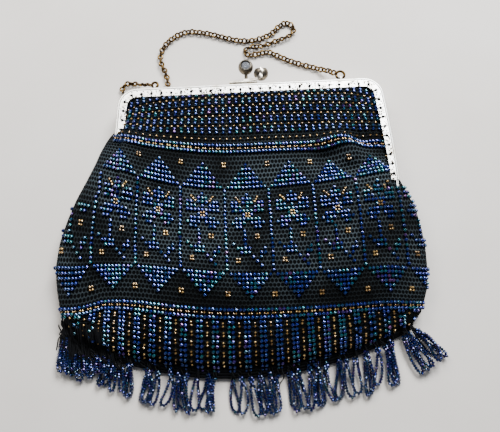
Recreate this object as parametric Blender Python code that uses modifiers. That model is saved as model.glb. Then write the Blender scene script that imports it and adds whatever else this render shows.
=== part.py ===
"""Knitted and beaded handbag on a metal purse frame, lying on its back on a flat surface.

Metres, +Z up, +Y from the fringe to the clasp, the front of the bag facing up. The pieces are laid out
from the middle of the frame's upper edge, and one empty then sets the whole bag with the centre of its
box over the origin.
"""

import math

import bmesh
import bpy
from mathutils import Matrix, Vector

MM = 0.001
GAP = 0.35 * MM

# Purse frame: two equal channel-shaped halves, hinged at the ends of the arms.
FRAME_WIDTH = 157 * MM
FRAME_ARM = 68 * MM
ARM_BOW = 3 * MM
CORNER_RADIUS = 12 * MM
FRAME_DEPTH = 11.6 * MM
FACE_WIDTH = 6 * MM
FACE_WIDTH_AT_TIP = 5 * MM
SHEET = 1 * MM
EDGE_RADIUS = 1.5 * MM
PARTING = 0.35 * MM

# Sewing holes along the inner edge of each half.
SEW_HOLE_RADIUS = 0.65 * MM
SEW_HOLE_INSET = 1.8 * MM
SEW_PITCH = 5.8 * MM

# Hinges.
EAR_RADIUS = 3.1 * MM
EAR_SHEET = 0.9 * MM
RIVET_RADIUS = 0.75 * MM
RIVET_HEAD_RADIUS = 1.9 * MM
RIVET_HEAD = 0.8 * MM

# Chain, its two rings and the eyes that carry them.
CHAIN_WIDTH = 3.7 * MM
CHAIN_POINT_PITCH = 1.2 * CHAIN_WIDTH
RING_WIRE_RADIUS = 0.4 * MM
LEFT_RING_RADIUS = 1.75 * MM
RIGHT_RING_RADIUS = 2.55 * MM
LEFT_EYE_X = -57 * MM
RIGHT_EYE_X = 55 * MM
EYE_REACH = 3.4 * MM
EYE_RADIUS = 1.7 * MM
EYE_HOLE_RADIUS = 0.85 * MM
EYE_SHEET = 1 * MM

# Clasp: two knobs that snap past each other.
STONE_KNOB_RADIUS = 4.5 * MM
PLAIN_KNOB_RADIUS = 4.35 * MM
STONE_KNOB_AT = Vector((-0.444, 2.511, 2.889)) * STONE_KNOB_RADIUS
PLAIN_KNOB_AT = Vector((1.586, 1.517, 3.08)) * PLAIN_KNOB_RADIUS
BAR_LENGTH = 16.5 * MM
BAR_LEFT = -12.3 * MM
BAR_THICKNESS = 1.2 * MM
BAR_HEIGHT = 3.2 * MM
STEM_RADIUS = 1.0 * MM
FOOT_LENGTH = 9 * MM
STONE_RADIUS = 2.6 * MM
STONE_TABLE_RADIUS = 1.45 * MM
STONE_CROWN = 0.8 * MM
STONE_PAVILION = 1.5 * MM

# Pouch: a hollow knitted bag. Its sizes are measured from the frame's upper edge.
BODY_HEIGHT = 164.5 * MM
BODY_WIDTH = 207 * MM
BODY_DEPTH = 24 * MM
CLOTH = 1.8 * MM
SIDE_SHARPNESS = 10
CROWN_SPAN = 0.93
POINTS_AROUND = 42

# Fringe: locks of looped strands on a head that follows the bottom of the pouch and climbs its left side.
FRINGE_LENGTH = 25 * MM
FRINGE_HEAD = 2.6 * MM
FRINGE_HEIGHT = 6 * MM
LOCK_HEIGHT = 3.4 * MM
LOCK_TIP_HEIGHT = 2.2 * MM
LOCK_PITCH = 7.4 * MM
LOCK_SPACE = 1.2 * MM

FRAME_REST = CHAIN_WIDTH + GAP
FRAME_MIDDLE = FRAME_REST + FRAME_DEPTH / 2
FRAME_TOP = FRAME_REST + FRAME_DEPTH

# Each row is one section across the pouch, from the mouth down to the bottom seam.
# down: distance below the frame's upper edge, rise: how much higher the row lies at its left and right
# ends, all as shares of BODY_HEIGHT. left, right: shares of BODY_WIDTH. bend: 2 is a round arc, more is
# flatter with sharper ends. edge, top, under: heights of the side, the front and the back, and rim: how
# steeply the front climbs at the left and the right side, as shares of BODY_DEPTH.
SECTIONS = (
    # down, left, right, rise_left, rise_right, bend, edge, rim_left, rim_right, top, under
    (0.014, 0.370, 0.370, -0.056, -0.056, 10.0, 0.410, 0.178, 0.178, 0.588, 0.232),
    (0.041, 0.371, 0.371, -0.046, -0.046, 9.0, 0.410, 0.178, 0.178, 0.590, 0.230),
    (0.062, 0.372, 0.372, -0.034, -0.034, 8.0, 0.410, 0.178, 0.178, 0.690, 0.190),
    (0.105, 0.373, 0.373, 0.000, -0.006, 4.0, 0.410, 0.200, 0.178, 0.790, 0.100),
    (0.150, 0.380, 0.373, 0.024, 0.000, 2.6, 0.405, 0.290, 0.178, 0.820, 0.020),
    (0.195, 0.389, 0.374, 0.043, 0.004, 2.2, 0.395, 0.400, 0.178, 0.830, -0.040),
    (0.225, 0.400, 0.375, 0.060, 0.005, 2.0, 0.390, 0.440, 0.179, 0.835, -0.055),
    (0.252, 0.409, 0.377, 0.074, 0.008, 2.0, 0.380, 0.460, 0.195, 0.845, -0.065),
    (0.282, 0.417, 0.380, 0.089, 0.013, 2.0, 0.374, 0.470, 0.230, 0.858, -0.070),
    (0.312, 0.424, 0.382, 0.104, 0.018, 2.0, 0.369, 0.470, 0.260, 0.871, -0.070),
    (0.350, 0.433, 0.386, 0.122, 0.030, 2.0, 0.364, 0.470, 0.320, 0.890, -0.070),
    (0.404, 0.447, 0.394, 0.134, 0.052, 2.0, 0.360, 0.450, 0.420, 0.915, -0.070),
    (0.462, 0.470, 0.415, 0.134, 0.046, 1.9, 0.355, 0.420, 0.420, 0.945, -0.070),
    (0.520, 0.498, 0.437, 0.125, 0.037, 1.8, 0.350, 0.390, 0.390, 0.980, -0.070),
    (0.578, 0.522, 0.447, 0.109, 0.024, 1.7, 0.345, 0.370, 0.360, 1.000, -0.070),
    (0.634, 0.541, 0.452, 0.091, 0.012, 1.6, 0.335, 0.350, 0.340, 0.995, -0.070),
    (0.705, 0.551, 0.450, 0.073, 0.003, 1.4, 0.320, 0.340, 0.330, 0.960, -0.070),
    (0.758, 0.546, 0.444, 0.055, -0.003, 1.5, 0.305, 0.330, 0.320, 0.900, -0.070),
    (0.812, 0.537, 0.430, 0.042, 0.002, 1.6, 0.285, 0.320, 0.310, 0.820, -0.060),
    (0.870, 0.526, 0.419, 0.064, 0.026, 1.8, 0.260, 0.290, 0.280, 0.720, -0.050),
    (0.930, 0.514, 0.408, 0.101, 0.073, 2.0, 0.225, 0.230, 0.230, 0.590, -0.040),
    (0.976, 0.507, 0.401, 0.123, 0.106, 2.0, 0.190, 0.160, 0.160, 0.420, -0.010),
    (0.996, 0.503, 0.396, 0.131, 0.117, 2.0, 0.170, 0.090, 0.090, 0.290, 0.070),
)

# Dents, folds and puckers of the front. x and half_width: shares of BODY_WIDTH, y and half_length: shares
# of BODY_HEIGHT. lift is how far the cloth stands out, as a share of BODY_DEPTH, and pull how far its rows
# are drawn up, as a share of BODY_HEIGHT.
DENTS = (
    # x, y, half_width, half_length, lift, pull
    (0.247, -0.258, 0.060, 0.045, 0.110, 0.018),
    (0.205, -0.300, 0.050, 0.034, -0.200, 0.000),
    (0.285, -0.305, 0.045, 0.036, 0.110, 0.004),
    (0.250, -0.350, 0.055, 0.032, -0.190, 0.004),
    (0.310, -0.240, 0.045, 0.030, -0.110, -0.010),
    (-0.300, -0.330, 0.120, 0.090, 0.050, 0.000),
    (-0.050, -0.395, 0.260, 0.045, -0.045, 0.000),
    (-0.440, -0.760, 0.090, 0.090, -0.090, 0.000),
    (0.110, -0.800, 0.200, 0.040, -0.050, 0.000),
    (0.340, -0.850, 0.080, 0.060, -0.090, 0.000),
)

# How the fringe hangs along the seam from its left end to its right one. along: share of the seam's
# length, lean: degrees to the right of straight down, length: share of FRINGE_LENGTH.
HANG = (
    # along, lean, length
    (0.00, -13, 0.92),
    (0.06, -5, 0.82),
    (0.12, -3, 0.78),
    (0.24, -4, 0.92),
    (0.46, -6, 0.94),
    (0.50, 3, 0.98),
    (0.60, 0, 1.00),
    (0.80, 2, 1.05),
    (0.92, 5, 1.06),
    (0.96, 22, 1.02),
    (1.00, 52, 1.06),
)

# The chain's way, in millimetres from the middle of the frame's upper edge: from the left ring down to
# the surface, back under the corner of the frame, round above the bag and up to the right ring.
CHAIN_ROUTE = (
    (-61.4, 5.8, 7.6),
    (-64.0, 7.0, 5.4),
    (-67.4, 8.6, 3.0),
    (-71.0, 9.8, 2.0),
    (-74.8, 10.0, 1.9),
    (-77.8, 6.8, 1.9),
    (-76.2, 2.6, 1.9),
    (-71.0, 0.2, 1.9),
    (-64.5, -1.6, 1.9),
    (-58.0, -2.0, 1.9),
    (-52.5, 0.4, 1.9),
    (-50.3, 5.6, 1.9),
    (-50.2, 11.0, 1.9),
    (-51.4, 16.6, 1.9),
    (-53.8, 22.6, 1.9),
    (-54.2, 28.6, 1.9),
    (-52.0, 34.0, 1.9),
    (-48.0, 38.6, 1.9),
    (-43.0, 42.0, 1.9),
    (-36.5, 44.0, 1.9),
    (-29.0, 43.2, 1.9),
    (-21.0, 41.2, 1.9),
    (-13.0, 38.4, 1.9),
    (-5.0, 36.2, 1.9),
    (3.0, 35.8, 1.9),
    (10.0, 37.4, 1.9),
    (16.0, 40.4, 1.9),
    (20.6, 44.8, 1.9),
    (25.4, 47.0, 1.9),
    (29.4, 44.0, 1.9),
    (28.4, 39.4, 1.9),
    (22.6, 36.4, 1.9),
    (15.6, 33.8, 1.9),
    (8.6, 31.6, 1.9),
    (2.2, 31.4, 1.9),
    (-1.8, 29.0, 1.9),
    (0.4, 25.8, 1.9),
    (6.0, 26.2, 1.9),
    (12.4, 27.2, 1.9),
    (18.0, 24.6, 1.9),
    (24.6, 21.0, 1.9),
    (31.6, 18.0, 1.9),
    (38.6, 15.6, 1.9),
    (43.6, 13.4, 2.6),
    (47.4, 11.2, 4.8),
    (50.2, 8.8, 6.8),
)


def new_scene():
    for old in list(bpy.data.objects):
        bpy.data.objects.remove(old)
    parts = bpy.data.collections.new("Beaded handbag")
    cutters = bpy.data.collections.new("Cutters")
    bpy.context.scene.collection.children.link(parts)
    bpy.context.scene.collection.children.link(cutters)
    return parts, cutters


PARTS, CUTTERS = new_scene()


def material(name, color, roughness, metallic=0.0):
    made = bpy.data.materials.new(name)
    made.use_nodes = True
    shader = made.node_tree.nodes["Principled BSDF"]
    shader.inputs["Base Color"].default_value = (*color, 1.0)
    shader.inputs["Roughness"].default_value = roughness
    shader.inputs["Metallic"].default_value = metallic
    return made


KNITTED = material("navy beaded knit", (0.012, 0.018, 0.045), 0.5)
FRINGE_BEADS = material("navy seed beads", (0.010, 0.016, 0.055), 0.3)
SILVERED = material("silvered brass", (0.80, 0.78, 0.74), 0.35, 1.0)
NICKEL = material("nickel-plated brass", (0.56, 0.52, 0.46), 0.25, 1.0)
ANTIQUE_BRASS = material("antique brass", (0.28, 0.19, 0.09), 0.35, 1.0)
CLEAR_STONE = material("clear glass", (0.85, 0.86, 0.88), 0.05)


def mesh_object(name, bm, finish=None, smooth_angle=None):
    """A part if it has a finish, otherwise a cutter, which is never rendered."""
    mesh = bpy.data.meshes.new(name)
    bm.to_mesh(mesh)
    bm.free()
    obj = bpy.data.objects.new(name, mesh)
    if finish:
        mesh.materials.append(finish)
        PARTS.objects.link(obj)
    else:
        CUTTERS.objects.link(obj)
        obj.display_type = "WIRE"
        obj.hide_render = True
    if smooth_angle:
        mesh.shade_smooth()
        mesh.set_sharp_from_angle(angle=math.radians(smooth_angle))
    return obj


def skin(rings, closed_ends=True):
    """Quads between rings of equal length, with a flat face on the first and the last."""
    bm = bmesh.new()
    loops = [[bm.verts.new(point) for point in ring] for ring in rings]
    for low, high in zip(loops, loops[1:]):
        for here in range(len(low)):
            after = (here + 1) % len(low)
            bm.faces.new((low[here], low[after], high[after], high[here]))
    if closed_ends:
        bm.faces.new(loops[0])
        bm.faces.new(loops[-1])
    bmesh.ops.recalc_face_normals(bm, faces=bm.faces)
    return bm


def boolean(obj, operation, *others):
    for other in others:
        modifier = obj.modifiers.new(f"{operation.lower()} {other.name}", "BOOLEAN")
        modifier.operation = operation
        modifier.solver = "EXACT"
        modifier.object = other


def cylinder(name, start, end, radius, sides, finish=None):
    """A straight round bar from start to end."""
    start, end = Vector(start), Vector(end)
    bm = bmesh.new()
    bmesh.ops.create_cone(
        bm, cap_ends=True, segments=sides, radius1=radius, radius2=radius, depth=(end - start).length
    )
    turn = Vector((0, 0, 1)).rotation_difference(end - start).to_matrix().to_4x4()
    bmesh.ops.transform(bm, matrix=Matrix.Translation((start + end) / 2) @ turn, verts=bm.verts)
    return mesh_object(name, bm, finish)


def block(name, low, high, finish=None):
    low, high = Vector(low), Vector(high)
    bm = bmesh.new()
    bmesh.ops.create_cube(bm, size=1.0)
    size = high - low
    bmesh.ops.scale(bm, vec=size, verts=bm.verts)
    bmesh.ops.translate(bm, vec=(low + high) / 2, verts=bm.verts)
    return mesh_object(name, bm, finish)


def curve_through(points, pitch):
    """Evenly spaced points on a smooth curve through the given points."""
    points = [Vector(point) for point in points]
    ends = [2 * points[0] - points[1], *points, 2 * points[-1] - points[-2]]
    dense = []
    for a, b, c, d in zip(ends, ends[1:], ends[2:], ends[3:]):
        for step in range(12):
            t = step / 12
            dense.append(
                0.5
                * (2 * b + (c - a) * t + (2 * a - 5 * b + 4 * c - d) * t**2 + (3 * b - a - 3 * c + d) * t**3)
            )
    dense.append(points[-1])
    lengths = [0.0]
    for before, after in zip(dense, dense[1:]):
        lengths.append(lengths[-1] + (after - before).length)
    count = max(2, round(lengths[-1] / pitch))
    even = []
    at = 0
    for step in range(count + 1):
        goal = lengths[-1] * step / count
        while at < len(dense) - 2 and lengths[at + 1] < goal:
            at += 1
        share = (goal - lengths[at]) / (lengths[at + 1] - lengths[at])
        even.append(dense[at].lerp(dense[at + 1], share))
    return even


def wire_curve(name, points, radius, finish):
    curve = bpy.data.curves.new(name, "CURVE")
    curve.dimensions = "3D"
    curve.bevel_depth = radius
    curve.bevel_resolution = 2
    curve.use_fill_caps = True
    spline = curve.splines.new("POLY")
    spline.points.add(len(points) - 1)
    for place, point in zip(spline.points, points):
        place.co = (*point, 1.0)
    curve.materials.append(finish)
    obj = bpy.data.objects.new(name, curve)
    PARTS.objects.link(obj)
    return obj


def to_mesh_object(obj, finish=None):
    """The curve object's own shape as a mesh object with welded caps, in its place."""
    graph = bpy.context.evaluated_depsgraph_get()
    mesh = bpy.data.meshes.new_from_object(obj.evaluated_get(graph))
    name = obj.name
    bpy.data.objects.remove(obj)
    bm = bmesh.new()
    bm.from_mesh(mesh)
    bmesh.ops.remove_doubles(bm, verts=bm.verts, dist=0.001 * MM)
    bmesh.ops.recalc_face_normals(bm, faces=bm.faces)
    return mesh_object(name, bm, finish, smooth_angle=40 if finish else None)


def arm_outer_x(down):
    """Half the frame's outer width at a distance below its upper edge."""
    share = (down - CORNER_RADIUS) / (FRAME_ARM - CORNER_RADIUS)
    return FRAME_WIDTH / 2 + ARM_BOW * math.sin(math.pi / 2 * min(1.0, max(0.0, share)))


def frame_stations(last_down):
    """(outer point, inward direction, face width) from the end of the left arm round to the right one."""
    right = []
    center_x = FRAME_WIDTH / 2 - CORNER_RADIUS
    for step in range(8):
        angle = math.radians(90 * (1 - step / 7))
        across = Vector((math.cos(angle), math.sin(angle)))
        place = Vector((center_x, -CORNER_RADIUS)) + across * CORNER_RADIUS
        right.append((place, -across, FACE_WIDTH))
    steps = 6
    for step in range(1, steps + 1):
        share = step / steps
        down = CORNER_RADIUS + (last_down - CORNER_RADIUS) * share
        ahead, behind = arm_outer_x(down + MM / 2), arm_outer_x(down - MM / 2)
        along = Vector((ahead - behind, -MM)).normalized()
        width = FACE_WIDTH + (FACE_WIDTH_AT_TIP - FACE_WIDTH) * share
        right.append((Vector((arm_outer_x(down), -down)), Vector((along.y, -along.x)), width))
    left = [
        (Vector((-place.x, place.y)), Vector((-inward.x, inward.y)), width)
        for place, inward, width in right
    ]
    return left[::-1] + right


def half_profile(front, width):
    """Outline of one half: (distance inward from the outer edge, height)."""
    bend = EDGE_RADIUS
    steps = 3
    round_edge = [
        (
            bend - bend * math.cos(math.radians(90 * step / steps)),
            FRAME_TOP - bend + bend * math.sin(math.radians(90 * step / steps)),
        )
        for step in range(steps + 1)
    ]
    parting = FRAME_MIDDLE + PARTING / 2
    outline = [
        (0.0, parting),
        *round_edge,
        (width, FRAME_TOP),
        (width, FRAME_TOP - SHEET),
        (SHEET, FRAME_TOP - SHEET),
        (SHEET, parting),
    ]
    if front:
        return outline
    return [(inward, 2 * FRAME_MIDDLE - height) for inward, height in outline]


def sweep_frame(stations, profile_of):
    rings = []
    for place, inward, width in stations:
        ring = []
        for distance, height in profile_of(width):
            point = place + inward * distance
            ring.append((point.x, point.y, height))
        rings.append(ring)
    return skin(rings)


WALL_END = FRAME_ARM - EAR_RADIUS - 0.5 * MM
HINGE_X = FRAME_WIDTH / 2 + ARM_BOW


def frame_half(name, front):
    obj = mesh_object(
        name,
        sweep_frame(frame_stations(WALL_END), lambda width: half_profile(front, width)),
        SILVERED,
        smooth_angle=35,
    )
    outer = 0.05 * MM if not front else SHEET + GAP
    root = FRAME_TOP - SHEET / 2 if front else FRAME_REST + SHEET / 2
    for side, label in ((-1, "left"), (1, "right")):
        ends = sorted(side * (HINGE_X - distance) for distance in (outer, outer + EAR_SHEET))
        ear = cylinder(
            f"{name} {label} ear",
            (ends[0], -FRAME_ARM, FRAME_MIDDLE),
            (ends[1], -FRAME_ARM, FRAME_MIDDLE),
            EAR_RADIUS,
            14,
        )
        heights = sorted((root, FRAME_MIDDLE - (0 if front else PARTING / 2)))
        web = block(
            f"{name} {label} web",
            (ends[0], -FRAME_ARM, heights[0]),
            (ends[1], -WALL_END + 1.6 * MM, heights[1]),
        )
        boolean(obj, "UNION", ear, web)
    return obj


def sewing_holes():
    """One cutter for the holes of both halves: a row of pins that follows the inner edge."""
    path = []
    for place, inward, width in frame_stations(WALL_END - 2 * MM):
        path.append(place + inward * (width - SEW_HOLE_INSET))
    lengths = [0.0]
    for before, after in zip(path, path[1:]):
        lengths.append(lengths[-1] + (after - before).length)
    count = math.floor((lengths[-1] - 4 * SEW_HOLE_RADIUS) / SEW_PITCH)
    start = (lengths[-1] - count * SEW_PITCH) / 2
    bm = bmesh.new()
    for step in range(count + 1):
        goal = start + step * SEW_PITCH
        at = max(index for index, length in enumerate(lengths[:-1]) if length <= goal)
        share = (goal - lengths[at]) / (lengths[at + 1] - lengths[at])
        place = path[at].lerp(path[at + 1], share)
        pin = bmesh.ops.create_cone(
            bm,
            cap_ends=True,
            segments=6,
            radius1=SEW_HOLE_RADIUS,
            radius2=SEW_HOLE_RADIUS,
            depth=FRAME_DEPTH + 4 * MM,
        )
        bmesh.ops.translate(bm, vec=(place.x, place.y, FRAME_MIDDLE), verts=pin["verts"])
    return mesh_object("sewing holes", bm)


def hinge_holes():
    bm = bmesh.new()
    for side in (-1, 1):
        pin = bmesh.ops.create_cone(
            bm,
            cap_ends=True,
            segments=12,
            radius1=RIVET_RADIUS + GAP,
            radius2=RIVET_RADIUS + GAP,
            depth=4 * (SHEET + GAP + EAR_SHEET),
        )
        bmesh.ops.rotate(bm, matrix=Matrix.Rotation(math.pi / 2, 3, "Y"), verts=pin["verts"])
        bmesh.ops.translate(bm, vec=(side * HINGE_X, -FRAME_ARM, FRAME_MIDDLE), verts=pin["verts"])
    return mesh_object("hinge holes", bm)


def turned(name, profile, finish, steps=14, to_x=0):
    """A profile of (radius, height) turned about Z, or about X with to_x = 1 or -1."""
    mesh = bpy.data.meshes.new(name)
    mesh.from_pydata([(radius, 0, height) for radius, height in profile], _chain_edges(profile), [])
    mesh.materials.append(finish)
    obj = bpy.data.objects.new(name, mesh)
    PARTS.objects.link(obj)
    screw = obj.modifiers.new("turned", "SCREW")
    screw.steps = screw.render_steps = steps
    screw.use_merge_vertices = True
    screw.merge_threshold = 0.00001
    screw.use_smooth_shade = True
    if to_x:
        obj.rotation_euler = (0, to_x * math.pi / 2, 0)
    return obj


def _chain_edges(points):
    return [(here, here + 1) for here in range(len(points) - 1)]


def hinge_rivet(name, side):
    """Shaft through both ears, with a domed head outside and a flat one inside."""
    inner = SHEET + GAP + EAR_SHEET + GAP
    profile = [
        (0, GAP + RIVET_HEAD),
        (RIVET_HEAD_RADIUS * 0.6, GAP + RIVET_HEAD * 0.8),
        (RIVET_HEAD_RADIUS, GAP + RIVET_HEAD * 0.2),
        (RIVET_HEAD_RADIUS, GAP),
        (RIVET_RADIUS, GAP),
        (RIVET_RADIUS, -inner),
        (RIVET_HEAD_RADIUS * 0.85, -inner),
        (RIVET_HEAD_RADIUS * 0.85, -inner - RIVET_HEAD * 0.7),
        (0, -inner - RIVET_HEAD * 0.7),
    ]
    rivet = turned(name, profile, SILVERED, steps=12, to_x=side)
    rivet.location = (side * HINGE_X, -FRAME_ARM, FRAME_MIDDLE)
    return rivet


def chain_eye(frame, label, x):
    """A small upright eye on the back half's upper edge. Its hole runs along X."""
    height = FRAME_MIDDLE - PARTING / 2 - EYE_RADIUS
    disc = cylinder(
        f"{label} eye",
        (x - EYE_SHEET / 2, EYE_REACH, height),
        (x + EYE_SHEET / 2, EYE_REACH, height),
        EYE_RADIUS,
        12,
    )
    neck = block(
        f"{label} eye neck",
        (x - EYE_SHEET / 2, -SHEET / 2, height - EYE_RADIUS * 0.8),
        (x + EYE_SHEET / 2, EYE_REACH, height + EYE_RADIUS * 0.8),
    )
    hole = cylinder(
        f"{label} eye hole",
        (x - 2 * MM, EYE_REACH, height),
        (x + 2 * MM, EYE_REACH, height),
        EYE_HOLE_RADIUS,
        10,
    )
    boolean(frame, "UNION", disc, neck)
    boolean(frame, "DIFFERENCE", hole)


def chain_ring(name, x, radius):
    """A jump ring that lies level and passes through its eye."""
    bpy.ops.mesh.primitive_torus_add(
        major_segments=16, minor_segments=6, major_radius=radius, minor_radius=RING_WIRE_RADIUS
    )
    ring = bpy.context.object
    ring.name = name
    for collection in list(ring.users_collection):
        collection.objects.unlink(ring)
    PARTS.objects.link(ring)
    ring.location = (x, EYE_REACH + radius, FRAME_MIDDLE - PARTING / 2 - EYE_RADIUS)
    ring.data.materials.append(ANTIQUE_BRASS)
    ring.data.shade_smooth()
    return ring


def front_clasp():
    """A flat bar on the front half, with an arm that curls up over the plain knob."""
    top = FRAME_TOP - 0.3 * MM
    bar = block(
        "front_clasp",
        (BAR_LEFT, GAP, top - BAR_HEIGHT),
        (BAR_LEFT + BAR_LENGTH, GAP + BAR_THICKNESS, top),
        NICKEL,
    )
    bevel = bar.modifiers.new("eased edges", "BEVEL")
    bevel.width = BAR_THICKNESS / 4
    bevel.segments = 2
    knob_bm = bmesh.new()
    bmesh.ops.create_uvsphere(knob_bm, u_segments=16, v_segments=10, radius=PLAIN_KNOB_RADIUS)
    bmesh.ops.translate(knob_bm, vec=PLAIN_KNOB_AT, verts=knob_bm.verts)
    knob = mesh_object("plain knob", knob_bm)
    arm_radius = BAR_THICKNESS * 0.75
    bar_end = Vector((BAR_LEFT + BAR_LENGTH, GAP + arm_radius, top - BAR_HEIGHT / 2))
    crest = PLAIN_KNOB_AT + Vector((0, -0.3, 0.92)) * PLAIN_KNOB_RADIUS
    route = [
        bar_end - Vector((BAR_HEIGHT / 2, 0, 0)),
        bar_end,
        bar_end.lerp(crest, 0.45) + Vector((0.5, -0.8, 0.5)) * MM,
        crest,
        PLAIN_KNOB_AT + Vector((0, 0, 0.85)) * PLAIN_KNOB_RADIUS,
    ]
    arm = to_mesh_object(wire_curve("clasp arm", curve_through(route, arm_radius), arm_radius, NICKEL))
    boolean(bar, "UNION", arm, knob)
    return bar


def stone_knob():
    """A ball cut open at the top as a cup for the stone, on a stem and foot on the back half."""
    ball = STONE_KNOB_RADIUS
    lip = 0.62 * ball
    rim_radius = math.sqrt(ball**2 - lip**2)
    seat_radius = STONE_RADIUS + GAP
    seat_top = lip + 0.25 * MM
    steps = 8
    start = math.asin(lip / ball)
    outside = []
    for step in range(steps + 1):
        angle = start - (start + math.pi / 2) * step / steps
        outside.append((max(0.0, ball * math.cos(angle)), ball * math.sin(angle)))
    outside[-1] = (0.0, -ball)
    profile = [
        (0.0, seat_top - STONE_CROWN - STONE_PAVILION - 2 * GAP),
        (seat_radius, seat_top - STONE_CROWN - 0.2 * MM),
        (seat_radius, seat_top),
        (rim_radius - 0.3 * MM, seat_top),
        *outside,
    ]
    cup = turned("back_clasp", profile, NICKEL, steps=16)
    cup.location = STONE_KNOB_AT
    foot_height = FRAME_MIDDLE - PARTING / 2 - 2.4 * MM
    foot = block(
        "clasp foot",
        (STONE_KNOB_AT.x - FOOT_LENGTH / 2, GAP, foot_height - 1.6 * MM),
        (STONE_KNOB_AT.x + FOOT_LENGTH / 2, GAP + SHEET, foot_height + 1.6 * MM),
    )
    stem = cylinder(
        "clasp stem",
        (STONE_KNOB_AT.x, GAP + SHEET / 2, foot_height),
        STONE_KNOB_AT - Vector((0, 0.55, 0.25)) * ball,
        STEM_RADIUS,
        10,
    )
    boolean(cup, "UNION", stem, foot)
    return cup


def stone():
    """Round cut: an eight-sided table, kite-like crown facets and a pointed pavilion."""
    girdle_height = 0.62 * STONE_KNOB_RADIUS + 0.25 * MM - STONE_CROWN
    eighth = math.pi / 4

    def ring(radius, height, turn):
        return [
            STONE_KNOB_AT
            + Vector(
                (
                    radius * math.cos(eighth * (corner + turn)),
                    radius * math.sin(eighth * (corner + turn)),
                    height,
                )
            )
            for corner in range(8)
        ]

    bm = bmesh.new()
    table = [bm.verts.new(p) for p in ring(STONE_TABLE_RADIUS, girdle_height + STONE_CROWN, 0)]
    girdle = [bm.verts.new(p) for p in ring(STONE_RADIUS, girdle_height, 0.5)]
    culet = bm.verts.new(STONE_KNOB_AT + Vector((0, 0, girdle_height - STONE_PAVILION)))
    bm.faces.new(table)
    for corner in range(8):
        after = (corner + 1) % 8
        bm.faces.new((table[corner], girdle[corner], table[after]))
        bm.faces.new((table[after], girdle[corner], girdle[after]))
        bm.faces.new((girdle[after], girdle[corner], culet))
    bmesh.ops.recalc_face_normals(bm, faces=bm.faces)
    return mesh_object("clasp_stone", bm, CLEAR_STONE)


def dent_at(x, y):
    """(lift, pull) of the front where the plain form would be at x, y."""
    lift = pull = 0.0
    for dent_x, dent_y, half_width, half_length, dent_lift, dent_pull in DENTS:
        across = (x / BODY_WIDTH - dent_x) / half_width
        along = (y / BODY_HEIGHT - dent_y) / half_length
        share = math.exp(-(across**2) - along**2)
        lift += dent_lift * BODY_DEPTH * share
        pull += dent_pull * BODY_HEIGHT * share
    return lift, pull


def pouch_ring(section, inset, lower=0.0):
    """One section across the pouch as a closed ring, set in from its outside by inset."""
    down, left, right, rise_left, rise_right, bend, edge, rim_left, rim_right, top, under = section
    center = (right - left) / 2 * BODY_WIDTH
    half = (right + left) / 2 * BODY_WIDTH - inset
    middle = -down * BODY_HEIGHT + lower
    ring = []
    for step in range(POINTS_AROUND):
        angle = 2 * math.pi * step / POINTS_AROUND
        share = math.cos(angle)
        x = center + half * share
        rise, rim = (rise_left, rim_left) if share < 0 else (rise_right, rim_right)
        y = middle + rise * BODY_HEIGHT * abs(share) ** bend
        shoulder = math.sqrt(max(0.0, 1 - abs(share) ** SIDE_SHARPNESS))
        crown = max(0.0, 1 - (share / CROWN_SPAN) ** 2)
        side = edge * BODY_DEPTH
        if math.sin(angle) >= 0:
            height = top * BODY_DEPTH - side - inset
            rim_height = min(rim * BODY_DEPTH, height + inset) - inset * (1 - crown)
            rim_height = max(rim_height, 0.1 * MM)
            z = side + rim_height * shoulder + (height - rim_height) * crown
            lift, pull = dent_at(x, y)
            fade = min(1.0, 3 * crown) * shoulder
            z += lift * fade
            y += pull * fade
        else:
            rim = edge - FRAME_REST / BODY_DEPTH - (SHEET + GAP) / BODY_DEPTH
            depth = side - under * BODY_DEPTH
            rim_depth = max(min(rim * BODY_DEPTH, depth), depth * 0.6)
            z = side - rim_depth * shoulder - (depth - rim_depth) * crown
            z = max(z, 0.0) + inset * shoulder
        ring.append(Vector((x, y, z)))
    return ring


def pouch():
    """Outside and inside walls, joined at the mouth, each closed at the bottom seam."""
    outer = [pouch_ring(section, 0.0) for section in SECTIONS]
    inner = [pouch_ring(section, CLOTH) for section in SECTIONS[:-1]]
    inner.append(pouch_ring(SECTIONS[-2], CLOTH * 1.35, lower=-0.3 * MM))
    bm = bmesh.new()
    half_way = POINTS_AROUND // 2
    closing = []
    walls = []
    for rings in (outer, inner):
        loops = [[bm.verts.new(point) for point in ring] for ring in rings]
        for low, high in zip(loops, loops[1:]):
            for here in range(POINTS_AROUND):
                after = (here + 1) % POINTS_AROUND
                bm.faces.new((low[here], low[after], high[after], high[here]))
        last = loops[-1]
        for here in range(half_way):
            there = (POINTS_AROUND - here) % POINTS_AROUND
            before = there - 1
            corners = [last[here], last[here + 1], last[before], last[there]]
            closing.append(bm.faces.new(list(dict.fromkeys(corners))))
        walls.append(loops[0])
    for here in range(POINTS_AROUND):
        after = (here + 1) % POINTS_AROUND
        bm.faces.new((walls[0][here], walls[0][after], walls[1][after], walls[1][here]))
    bmesh.ops.recalc_face_normals(bm, faces=bm.faces)
    return mesh_object("pouch", bm, KNITTED, smooth_angle=50)


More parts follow.
